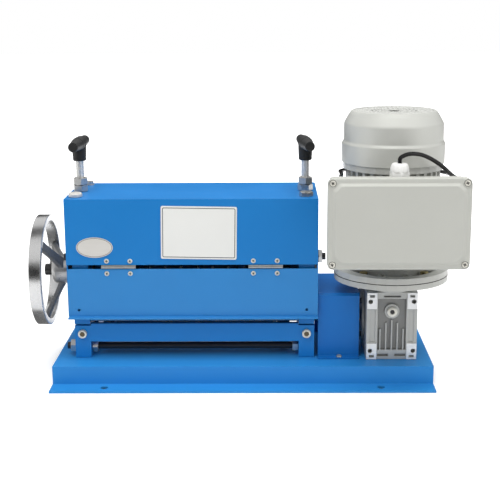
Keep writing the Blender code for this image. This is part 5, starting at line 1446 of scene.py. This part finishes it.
@dataclass
class MotorJoint(Assembly):
    """Bolts, ribs and the joint line of the motor's flange."""

    bolt_circle: float = 0.0590
    bolt_radius: float = 0.005
    bolt_rise: float = 0.0065
    bolt_turn: float = 0.3
    washer: float = 0.0062
    well_rise: float = 0.0035
    well: Pair = (0.0505, 0.0655)
    well_floor: float = 0.0003
    ribs: int = 12
    rib_half: float = 0.0010
    rib_height: float = 0.0036
    rib_reach: Pair = (0.049, 0.0662)
    rib_corner: float = 0.0005
    rib_edge: float = 0.0004
    gasket_width: float = 0.002
    gasket_rise: float = 0.0004

    def build(self) -> None:
        """Make the flange's four bolts, the ribs in its well, a dark ring of painted shade on the
        well's floor and the paper gasket under it.
        """
        flange, lower = Room.of("motor_flange"), Room.of("gearbox_input_flange")
        line, bottom = flange.line(Axis.Z), flange.along(Axis.Z)[0]
        well = bottom + self.well_rise
        bolts = Shape()
        for k, spot in enumerate(line.four_round(self.bolt_circle)):
            screw = Screw(spot, self.bolt_radius, well, well + self.bolt_rise, self.bolt_turn + k)
            bolts.add(screw.hexagon(self.washer))
        self.piece("flange_bolts", bolts, YELLOW_ZINC)
        # Painted shade: a dark ring laid on the well's floor.
        floor = line.ring(*self.well, well, well + self.well_floor)
        self.piece("flange_recess", floor, WELL_SHADE_GREY)

        x, y = line.centre
        low = np.array([y - self.rib_half, well])
        high = np.array([y + self.rib_half, well + self.rib_height])
        ends = (x + self.rib_reach[0], x + self.rib_reach[1])
        ribs = Shape()
        for k in range(self.ribs):
            rib = Line(Axis.X).block(low, high, ends, self.rib_corner, self.rib_edge)
            ribs.add(rib.turned((k + 0.5) * TAU / self.ribs, line))
        self.piece("flange_ribs", ribs, MOTOR_GREY)

        radius = flange.half(Axis.X) + LAP
        start, end = lower.along(Axis.Z)[1] - LAP, bottom + self.gasket_rise
        gasket = line.ring(radius - self.gasket_width, radius, start, end)
        self.piece("flange_gasket", gasket, GASKET)


@dataclass
class GearboxTrim(Assembly):
    """The gearbox's plug and the screws round its side covers."""

    plug_radius: float = 0.0072
    plug_key: float = 0.0064
    plug_height: float = 0.004
    floor_radius: float = 0.0030
    floor: Pair = (0.0014, 0.0030)
    cover_circle: float = 0.0350
    screw_radius: float = 0.0040
    screw_rise: float = 0.0016

    def build(self) -> None:
        """Make the plug with its socket, a black floor of painted shade in the socket, and the side
        covers' screws.
        """
        room = Room.of("gearbox_plug")
        line, front = room.line(Axis.Y), room.along(Axis.Y)[0]
        plug = Screw(line, self.plug_radius, front + self.plug_height, front).socket(self.plug_key)
        self.piece("oil_plug", plug, SCREW_ZINC, ["gearbox_plug"])
        # Painted shade: a black bar at the bottom of the plug's socket.
        floor = line.bar(self.floor_radius, *(front + end for end in self.floor))
        self.piece("oil_plug_socket", floor, BLACK_OXIDE_AND_SHADE)
        for side, out in zip(SIDES, (-self.screw_rise, self.screw_rise)):
            cover = Room.of(f"gearbox_{side}_cover")
            face = cover.along(Axis.X)[SIDES.index(side)]
            heads = Shape()
            for spot in cover.line(Axis.X).four_round(self.cover_circle):
                head = Screw(spot, self.screw_radius, face, face + out)
                heads.add(head.socket(self.screw_radius))
            self.piece(f"gearbox_{side}_screws", heads, BLACK_OXIDE_AND_SHADE)


class Head(enum.Enum):
    """The form of a cover bolt's head."""

    BUTTON = "button"
    HEXAGON = "hexagon"


@dataclass
class Adjuster(Assembly):
    """One pressure screw with its lock nuts, T-handle and the cover bolt before it.

    The collar, the bar's half and the button are profiles of place and radius.
    """

    side: str
    nut_turns: Pair
    bar_turn: float
    bolt: Head
    pitch: float = 0.00175
    thread: float = 0.0006
    end_cut: float = 1.5
    nut_gap: float = 0.0003
    collar_round: float = 0.0010
    bar_round: float = 0.0006
    stud_radius: float = 0.0060
    flats: float = 0.0190
    collar: Profile = (
        (0.0, 0.0), (0.0, 0.0086), (0.0012, 0.0094), (0.0044, 0.0095), (0.0050, 0.0091),
        (0.0056, 0.0096), (0.016, 0.0100), (0.0255, 0.0100), (0.0275, 0.0070), (0.0275, 0.0))
    bar_rise: float = 0.0243
    bar_half: Profile = (
        (0.0, 0.0096), (0.0120, 0.0094), (0.0132, 0.0088), (0.0429, 0.0068), (0.0435, 0.0063),
        (0.0435, 0.0056), (0.0429, 0.0052), (0.0429, 0.0))
    bolt_radius: float = 0.0049
    bolt_flats: float = 0.017
    bolt_rise: float = 0.0064
    bolt_turn: float = 0.35
    button: Profile = (
        (0.0, 0.0095), (0.0040, 0.0095), (0.0056, 0.0084), (0.0062, 0.0060), (0.0062, 0.0))

    def stud(self) -> Shape:
        """The threaded stud.

        Radius = R - depth |2 frac(z / pitch - angle / turn) - 1|, so the crest runs up a helix.

        Returns:
            The closed shell.
        """
        room = Room.of(self.side + "_pressure_screw")
        places = np.arange(*room.along(Axis.Z), self.pitch / 4)
        angle = full_turn(24)
        wave = np.abs(2 * ((places[:, None] / self.pitch - angle[None] / TAU) % 1.0) - 1)
        reach = self.stud_radius - self.thread * wave
        reach[[0, -1]] = self.stud_radius - self.end_cut * self.thread
        return room.line(Axis.Z).rings(angle, reach, places)

    def handle(self) -> Shape:
        """The moulded T-handle: a grooved collar below and a tapered bar with flat ends above.

        Returns:
            The closed shells.
        """
        low = Room.of(self.side + "_t_handle").along(Axis.Z)[0]
        screw = Room.of(self.side + "_pressure_screw").line(Axis.Z)
        x, y = screw.centre
        shape = screw.lathe(arc_profile(shifted(self.collar, low), self.collar_round, 3))
        whole = [(-place, radius) for place, radius in self.bar_half[::-1]]
        whole = arc_profile(shifted(whole + list(self.bar_half[1:]), y), self.bar_round, 3)
        across = Line(Axis.Y, (x, low + self.bar_rise)).lathe(whole)
        return shape.add(across.turned(self.bar_turn, screw))

    def cover_bolt(self) -> Shape:
        """The cover bolt, as a button with a broad flat top or as a hexagon.

        Returns:
            The closed shells.
        """
        room = Room.of(self.side + "_cover_bolt")
        line = room.line(Axis.Z)
        low, top = room.along(Axis.Z)
        seat = top - self.bolt_rise
        if self.bolt is Head.BUTTON:
            shank = [(low, 0.0), (low, self.bolt_radius), (seat, self.bolt_radius)]
            return line.lathe(arc_profile(shank + shifted(self.button, seat), self.bar_round, 3))
        head = Screw(line, self.bolt_flats / 2, seat, top, self.bolt_turn).hexagon()
        return line.bar(self.bolt_radius, low, seat + LAP).add(head)

    def build(self) -> None:
        """Make the stud, nuts, handle and cover bolt."""
        screw, body = self.side + "_pressure_screw", self.side + "_adjuster"
        self.piece(self.side + "_stud", self.stud(), STUD_STEEL, [screw], body, sharp=DOMED)
        name, replaced = self.side + "_handle_moulding", [self.side + "_t_handle"]
        self.piece(name, self.handle(), BLACK_PLASTIC, replaced, body, sharp=GROOVED)
        for place, turn in zip(("lower", "upper"), self.nut_turns):
            node = f"{self.side}_{place}_lock_nut"
            ends = Room.of(node).along(Axis.Z)
            bore = self.stud_radius + self.nut_gap
            nut = Room.of(screw).line(Axis.Z).nut(self.flats, bore, ends, math.radians(turn))
            self.piece(node + "_chamfered", nut, ZINC, [node])
        finish = SILVER_PLATE if self.bolt is Head.BUTTON else ZINC
        node = self.side + "_cover_bolt"
        self.piece(node + "_head", self.cover_bolt(), finish, [node], slot="zinc_plated")


@dataclass
class Handwheel(Assembly):
    """The spoked handwheel: polished rim, rough spokes and turned hub.

    The hub is a profile of place in from its left or right face and draw in from its radius.
    """

    line: Line = BLADE_LINE
    radius: float = 0.080
    rim_width: float = 0.017
    rim_depth: float = 0.009
    rim_corner: float = 0.0009
    hub_radius: float = 0.020
    hub_width: float = 0.0305
    hub_left: Profile = ((0.0, 0.004), (0.003, 0.001), (0.006, 0.0))
    hub_right: Profile = ((0.004, 0.0), (0.0, 0.003))
    hub_round: float = 0.002
    bore: float = 0.0103
    spokes: int = 3
    start: float = 45.0
    spoke_half: Pair = (0.0035, 0.0065)
    spoke_corner: float = 0.0016
    spoke_lap: Pair = (0.004, 0.002)
    flare: Pair = (0.35, 0.25)
    bolt_radius: float = 0.0084
    bolt_key: float = 0.0080
    bolt_proud: float = 0.0003

    def arms(self, hub_middle: float, rim_middle: float) -> Shape:
        """The spokes: a rounded bar that runs from hub to rim, flared at both ends.

        Flare = 1 + 0.35 (1 - t)^4 + 0.25 t^6, t the share of the way out.

        Args:
            hub_middle: where they leave the hub along the shaft.
            rim_middle: where they meet the rim.

        Returns:
            The closed shells.
        """
        share = np.linspace(0, 1, 9)
        root = self.hub_radius - self.spoke_lap[0]
        tip = self.radius - self.rim_depth + self.spoke_lap[1]
        middle = hub_middle + (rim_middle - hub_middle) * share
        flare = 1 + self.flare[0] * (1 - share) ** 4 + self.flare[1] * share**6
        centres = np.stack([middle, np.full(len(share), self.line.centre[1])], axis=-1)
        halves = flare[:, None] * self.spoke_half
        outlines = [rounded_outline(centre - half, centre + half, self.spoke_corner, 4)
                    for centre, half in zip(centres, halves)]
        places = self.line.centre[0] - (root + (tip - root) * share)
        shape = Shape()
        for k in range(self.spokes):
            turn = -math.radians(self.start + 360 / self.spokes * k)
            shape.add(Line(Axis.Y).loft(outlines, places).turned(turn, self.line))
        return shape

    def build(self) -> None:
        """Make the rim, the spokes, the hub and the shaft's end bolt."""
        left, right = Room.of("handwheel").along(Axis.X)
        rim_right, hub_left = left + self.rim_width, right - self.hub_width
        inner = self.radius - self.rim_depth
        outline = rounded_outline((left, inner), (rim_right, self.radius), self.rim_corner, 5)
        rim = self.line.lathe(outline, 128)
        self.piece("handwheel_rim", rim, RIM_POLISH, ["handwheel"], "blade_set", sharp=MOULDED)
        arms = self.arms((hub_left + right) / 2, (left + rim_right) / 2)
        self.piece("handwheel_spokes", arms, SPIDER_CAST, body="blade_set")

        profile = [(hub_left + place, self.hub_radius - draw) for place, draw in self.hub_left]
        profile += [(right - place, self.hub_radius - draw) for place, draw in self.hub_right]
        profile = [(hub_left, self.bore), *profile, (right, self.bore)]
        hub = self.line.lathe(arc_profile(profile, self.hub_round, 3), 64)
        self.piece("handwheel_hub", hub, HUB_CAST, body="blade_set")
        tip = Room.of("blade_shaft").along(Axis.X)[0] - self.bolt_proud
        bolt = Screw(self.line, self.bolt_radius, hub_left - LAP, tip).socket(self.bolt_key)
        self.piece("wheel_end_bolt", bolt, BLACK_OXIDE_AND_SHADE, body="blade_set")


@dataclass
class HeadTrim(Assembly):
    """Screws, nuts and plates on the stripping head.

    A rear bolt is its X, Y and turn, and a border its outer and inner insets.
    """

    hinge_x: tuple[float, ...] = (-0.1890, -0.1563, 0.0153, 0.0485)
    upper_z: float = 0.1705
    lower_z: float = 0.1526
    upper_turns: Pair = (0.0, 0.5)
    lower_turns: Pair = (0.9, 0.6)
    screw_radius: float = 0.0034
    screw_rise: float = 0.0019
    screw_lap: float = 0.0001
    nut_flats: float = 0.017
    nut_bore: float = 0.0053
    rod_turns: tuple[tuple[str, float], ...] = (
        ("lower_rod_nut_left_outer", 0.2), ("lower_rod_nut_left_inner", 0.5),
        ("lower_rod_nut_right_inner", 0.1), ("upper_tie_nut", 0.35))
    portal_radius: float = 0.0062
    portal_height: float = 0.005
    portal_key: float = 0.0068
    shank_radius: float = 0.0029
    shank_down: float = 0.0048
    socket_radius: float = 0.0037
    socket_ends: Pair = (0.0010, 0.0030)
    sign_half: Pair = (0.0525, 0.03725)
    sign_tilt: float = 1.0
    sign_inset: float = 0.0022
    sign_line: float = 0.0009
    sign_corners: Pair = (0.0020, 0.0012)
    sign_proud: float = 0.00012
    oval_insets: Pair = (0.0012, 0.0017)
    border_lap: float = 0.0001
    rear_bolts: tuple[Point, ...] = ((-0.2284, 0.1720, 0.2), (0.0890, 0.1720, 0.5))
    rear_radius: float = 0.0060
    rear_rise: float = 0.0055
    rear_washer: float = 0.0075

    def hinge_row(self, body: str, z: float, turns: Pair) -> Shape:
        """Make the black crosses of painted shade in one row of hinge screws' recesses, and shape
        their heads.

        Args:
            body: the body that the row is on.
            z: the row's height.
            turns: the first screw's turn, and what each next one adds.

        Returns:
            The heads.
        """
        front = Room.of("upper_cover").along(Axis.Y)[0]
        heads, crosses = Shape(), Shape()
        for i, x in enumerate(self.hinge_x):
            line, turn = Line(Axis.Y, (x, z)), turns[0] + turns[1] * i
            ends = front + self.screw_lap, front - self.screw_rise
            screw = Screw(line, self.screw_radius, *ends, turn)
            heads.add(screw.pan())
            # Painted shade: a black cross at the bottom of each head's recess.
            crosses.add(replace(screw, seat=front).cross())
        self.piece("hinge_recesses_" + body, crosses, BLACK_OXIDE_AND_SHADE, body=body)
        return heads

    def rod_nuts(self) -> None:
        """Make the nuts of both tie rods, each with its turn."""
        for node, turn in self.rod_turns:
            rod = Room.of(node[:5] + "_tie_rod").line(Axis.X)
            nut = rod.nut(self.nut_flats, self.nut_bore, Room.of(node).along(Axis.X), turn)
            self.piece(node + "_chamfered", nut, ZINC, [node])

    def portal_screws(self) -> None:
        """Make the portal's two socket screws and the dark floors of their sockets, painted shade.
        """
        for side in SIDES:
            node = side + "_portal_screw"
            room = Room.of(node)
            line = room.line(Axis.Y)
            face, back = room.along(Axis.Y)
            head = Screw(line, self.portal_radius, face + self.portal_height, face)
            screw = head.socket(self.portal_key)
            screw.add(line.bar(self.shank_radius, face + self.shank_down, back))
            self.piece(node + "_head", screw, SCREW_ZINC, [node])
            # Painted shade: a dark bronze bar at the bottom of each socket.
            floor = line.bar(self.socket_radius, *(face + end for end in self.socket_ends))
            self.piece(node + "_socket", floor, SOCKET_SHADE_BRONZE)

    def borders(self) -> None:
        """Draw the thin borders round the sign and the oval plate."""
        sign = Room.of("sign_plate")
        line, face = sign.line(Axis.Y), sign.along(Axis.Y)[0]
        half = np.array(self.sign_half) - self.sign_inset
        within = half - self.sign_line
        outer = rounded_outline(-half, half, self.sign_corners[0], 4)
        inner = rounded_outline(-within, within, self.sign_corners[1], 4)
        border = line.band(outer, inner, face + self.border_lap, face - self.sign_proud)
        self.piece("sign_border", border.turned(math.radians(self.sign_tilt), line), SIGN_LINE)
        plate = Room.of("oval_plate")
        face = plate.along(Axis.Y)[0]
        size = np.array([plate.half(Axis.X), plate.half(Axis.Z)])
        outer, inner = (circle(full_turn(64)) * (size - inset) for inset in self.oval_insets)
        ends = face + self.border_lap, face - self.border_lap
        border = plate.line(Axis.Y).band(outer, inner, *ends)
        self.piece("oval_border", border, SIGN_LINE)

    def build(self) -> None:
        """Make the hinge screws, rod nuts, portal screws, borders and rear bolts."""
        upper = self.hinge_row("frame", self.upper_z, self.upper_turns)
        lower = self.hinge_row("flap", self.lower_z, self.lower_turns)
        self.piece("hinge_screws_upper", upper, SCREW_ZINC, sharp=DOMED)
        self.piece("hinge_screws_lower", lower, SCREW_ZINC, body="flap", sharp=DOMED)
        self.rod_nuts()
        self.portal_screws()
        self.borders()
        roof = Room.of("upper_cover").along(Axis.Z)[1]
        rear = Shape()
        for x, y, turn in self.rear_bolts:
            bolt = Screw(Line(Axis.Z, (x, y)), self.rear_radius, roof, roof + self.rear_rise, turn)
            rear.add(bolt.hexagon(self.rear_washer))
        self.piece("rear_cover_bolts", rear, ZINC)


@dataclass
class GuardTrim(Assembly):
    """Screws through the coupling guard's feet."""

    screw_x: float = 0.1360
    inset: float = 0.0065
    radius: float = 0.0042
    rise: float = 0.0030
    foot: float = 0.0015
    turn: float = 0.7

    def build(self) -> None:
        """Make one screw in each foot of the guard."""
        room = Room.of("drive_guard")
        front, back = room.along(Axis.Y)
        seat = room.along(Axis.Z)[0] + self.foot
        screws = Shape()
        for k, y in enumerate((front + self.inset, back - self.inset)):
            line = Line(Axis.Z, (self.screw_x, y))
            screws.add(Screw(line, self.radius, seat, seat + self.rise, self.turn + k).pan())
        self.piece("guard_screws", screws, ZINC, sharp=DOMED)


# The studio.
def backdrop(name: str, corners: np.ndarray, tree: MaterialTree) -> bpy.types.Object:
    """Put up one flat sheet that isn't part of the machine.

    Args:
        name: the sheet's name.
        corners: its four corners.
        tree: its material.

    Returns:
        The new object.
    """
    mesh = bpy.data.meshes.new(name)
    mesh.from_pydata(corners.tolist(), [], [(0, 1, 2, 3)])
    mesh.materials.append(tree.material)
    sheet = bpy.data.objects.new(name, mesh)
    bpy.context.scene.collection.objects.link(sheet)
    return sheet


@dataclass(frozen=True)
class Lamp:
    """A soft rectangular lamp, in watts; bare metal shows it only where it is mirrored."""

    name: str
    at: Point
    size: Pair
    power: float
    mirrored: bool = False

    def build(self, towards: Point) -> None:
        """Hang the lamp.

        Args:
            towards: the point that it faces.
        """
        data = bpy.data.lights.new(self.name, "AREA")
        data.shape = "RECTANGLE"
        data.size, data.size_y = self.size
        data.energy = self.power
        lamp = bpy.data.objects.new(self.name, data)
        lamp.visible_glossy = self.mirrored
        lamp.location = self.at
        ray = Vector(towards) - Vector(self.at)
        lamp.rotation_euler = ray.to_track_quat("-Z", "Y").to_euler()
        bpy.context.scene.collection.objects.link(lamp)


@dataclass(frozen=True)
class Card:
    """A dark card that only reflections see, to give bare metal its dark bands.

    Corners = middle -+ across -+ up, and its glow goes from 0, black, to 1, white.
    """

    name: str
    middle: Point
    across: Point
    up: Point
    glow: float

    def build(self) -> None:
        """Stand the card where it belongs."""
        tree = MaterialTree(self.name)
        tree.feed(tree.shader, {
            "Base Color": (*grey(0.01), 1.0), "Roughness": 1.0, "Specular IOR Level": 0.0,
            "Emission Color": WHITE, "Emission Strength": self.glow})
        signs = np.array([[-1, -1], [1, -1], [1, 1], [-1, 1]])
        corners = np.array(self.middle) + signs @ np.array([self.across, self.up])
        card = backdrop(self.name, corners, tree)
        card.visible_camera = False
        card.visible_diffuse = False
        card.visible_shadow = False
        card.visible_transmission = False


@dataclass(frozen=True)
class Studio:
    """Floor, soft lamps, world, dark cards and the camera."""

    camera_at: Point = (0.0378, -1.4440, 0.5296)
    pitch: float = 13.1
    yaw: float = -0.6
    roll: float = -0.3
    focal_pixels: float = 1106.2
    image_side: int = 500
    sensor: float = 36.0
    clip: Pair = (0.05, 30.0)
    centre_u: float = 258.2
    centre_v: float = 252.8
    floor_half: float = 9.0
    floor_inset: float = 0.003
    floor_edge: Pair = (0.002, 0.004)
    floor_far: float = 1.6
    floor_glow: Pair = (0.35, 0.65)
    floor_shade_tones: Pair = (0.04, 0.80)
    sky: float = 0.42
    middle: Point = (0.0, 0.1, 0.15)
    lamps: tuple[Lamp, ...] = (
        Lamp("key_lamp", (-0.9, -1.6, 1.9), (1.6, 1.2), 14.5),
        Lamp("fill_lamp", (1.6, -1.4, 0.9), (1.4, 1.4), 6.0, mirrored=True),
        Lamp("top_lamp", (0.1, -0.35, 2.2), (1.8, 1.4), 38.0),
        Lamp("back_lamp", (0.3, 2.0, 1.4), (1.8, 1.0), 26.0),
    )
    cards: tuple[Card, ...] = (
        Card("front_card", (0.0, -2.1, 0.62), (2.4, 0.0, 0.0), (0.0, 0.0, 0.62), 0.0),
        Card("floor_card", (0.0, -1.40, 0.006), (1.6, 0.0, 0.0), (0.0, 0.70, 0.0), 0.0),
        Card("back_card", (0.0, 1.7, 0.54), (2.2, 0.0, 0.0), (0.0, 0.0, 0.45), 0.04),
        Card("upper_card", (0.0, 0.26, 1.5), (1.2, 0.0, 0.0), (0.0, 0.32, 0.0), 0.06),
        Card("wheel_card", (-0.46, 0.115, 0.004), (0.18, 0.0, 0.0), (0.0, 0.085, 0.0), 0.20),
    )

    def camera(self) -> None:
        """Set the camera where the photograph was taken from."""
        data = bpy.data.cameras.new("camera")
        data.sensor_fit = "HORIZONTAL"
        data.sensor_width = self.sensor
        data.lens = self.focal_pixels * self.sensor / self.image_side
        data.shift_x = -(self.centre_u - self.image_side / 2) / self.image_side
        data.shift_y = (self.centre_v - self.image_side / 2) / self.image_side
        data.clip_start, data.clip_end = self.clip
        pitch, yaw, roll = (math.radians(angle) for angle in (self.pitch, self.yaw, self.roll))
        flat, down = math.cos(pitch), math.sin(pitch)
        ahead = Vector((math.sin(yaw) * flat, math.cos(yaw) * flat, -down))
        right = Vector((math.cos(yaw), -math.sin(yaw), 0))
        up = right.cross(ahead)
        tilted = right * math.cos(roll) + up * math.sin(roll)
        top = up * math.cos(roll) - right * math.sin(roll)
        turn = Matrix((tilted, top, -ahead)).transposed()
        camera = bpy.data.objects.new("camera", data)
        camera.matrix_world = Matrix.Translation(self.camera_at) @ turn.to_4x4()
        bpy.context.scene.collection.objects.link(camera)
        bpy.context.scene.camera = camera

    def floor(self) -> None:
        """A pale floor that keeps the machine's shadow, is painted dark as shade under the base's
        rectangle, and whitens with distance.

        Distance = length of max(|p - middle| - half, 0), measured from the base's rectangle.
        """
        tree = MaterialTree("pale_floor")
        low, high = Room.of("base_frame").across(Axis.Z)
        middle, half = (low + high) / 2, (high - low) / 2 - self.floor_inset
        offset = tree.vector("SUBTRACT", tree.coords, (*middle.tolist(), 0.0))
        offset = tree.vector("ABSOLUTE", offset)
        beyond = tree.vector("SUBTRACT", offset, (*half.tolist(), 0.0))
        far = tree.vector("LENGTH", tree.vector("MAXIMUM", beyond, (0.0, 0.0, 0.0)))
        near, wide = self.floor_glow
        level = tree.math("ADD", tree.ramp(far, 0.0, self.floor_edge[1], high=near),
                          tree.ramp(far, 0.0, self.floor_far, high=wide))
        # Painted shade: the floor's colour is dark under the base's rectangle and pale beyond its
        # edge.
        shade = tree.ramp(far, 0.0, self.floor_edge[0])
        glow = tree.math("MULTIPLY", tree.seen(), level)
        tree.feed(tree.shader, {
            "Base Color": tree.over(*map(grey, self.floor_shade_tones), shade),
            "Roughness": 0.9, "Specular IOR Level": 0.1,
            "Emission Color": WHITE, "Emission Strength": glow})
        signs = np.array([[-1, -1, 0], [1, -1, 0], [1, 1, 0], [-1, 1, 0]])
        backdrop("floor", self.floor_half * signs, tree)

    def world(self) -> None:
        """An even pale sky, white where the camera and the reflections see it."""
        world = bpy.data.worlds.new("studio")
        world.use_nodes = True
        bpy.context.scene.world = world
        tree = NodeTree(world.node_tree)
        strength = tree.ramp(tree.seen(), 0.0, 1.0, self.sky, 1.0, "LINEAR")
        tree.feed(tree.tree.nodes["Background"], {"Color": WHITE, "Strength": strength})

    def build(self) -> None:
        """Put up the whole studio."""
        self.camera()
        self.floor()
        self.world()
        for lamp in self.lamps:
            lamp.build(self.middle)
        for card in self.cards:
            card.build()
        bpy.context.scene.view_settings.view_transform = "Standard"


def main() -> None:
    """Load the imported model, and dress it."""
    logging.basicConfig(level=logging.INFO, format="%(name)s: %(message)s")
    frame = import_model()
    Studio().build()
    shop = Workshop()
    shop.dress(frame)
    assemblies = (
        MotorLead(shop),
        ControlBox(shop),
        Glands(shop),
        FanCover(shop),
        MotorJoint(shop),
        GearboxTrim(shop),
        Adjuster(shop, "left", (16.0, 13.0), math.radians(-1.9), Head.BUTTON),
        Adjuster(shop, "right", (26.0, 3.0), math.radians(7.0), Head.HEXAGON),
        Handwheel(shop),
        HeadTrim(shop),
        GuardTrim(shop),
    )
    for assembly in assemblies:
        assembly.build()


if __name__ == "__main__":
    main()
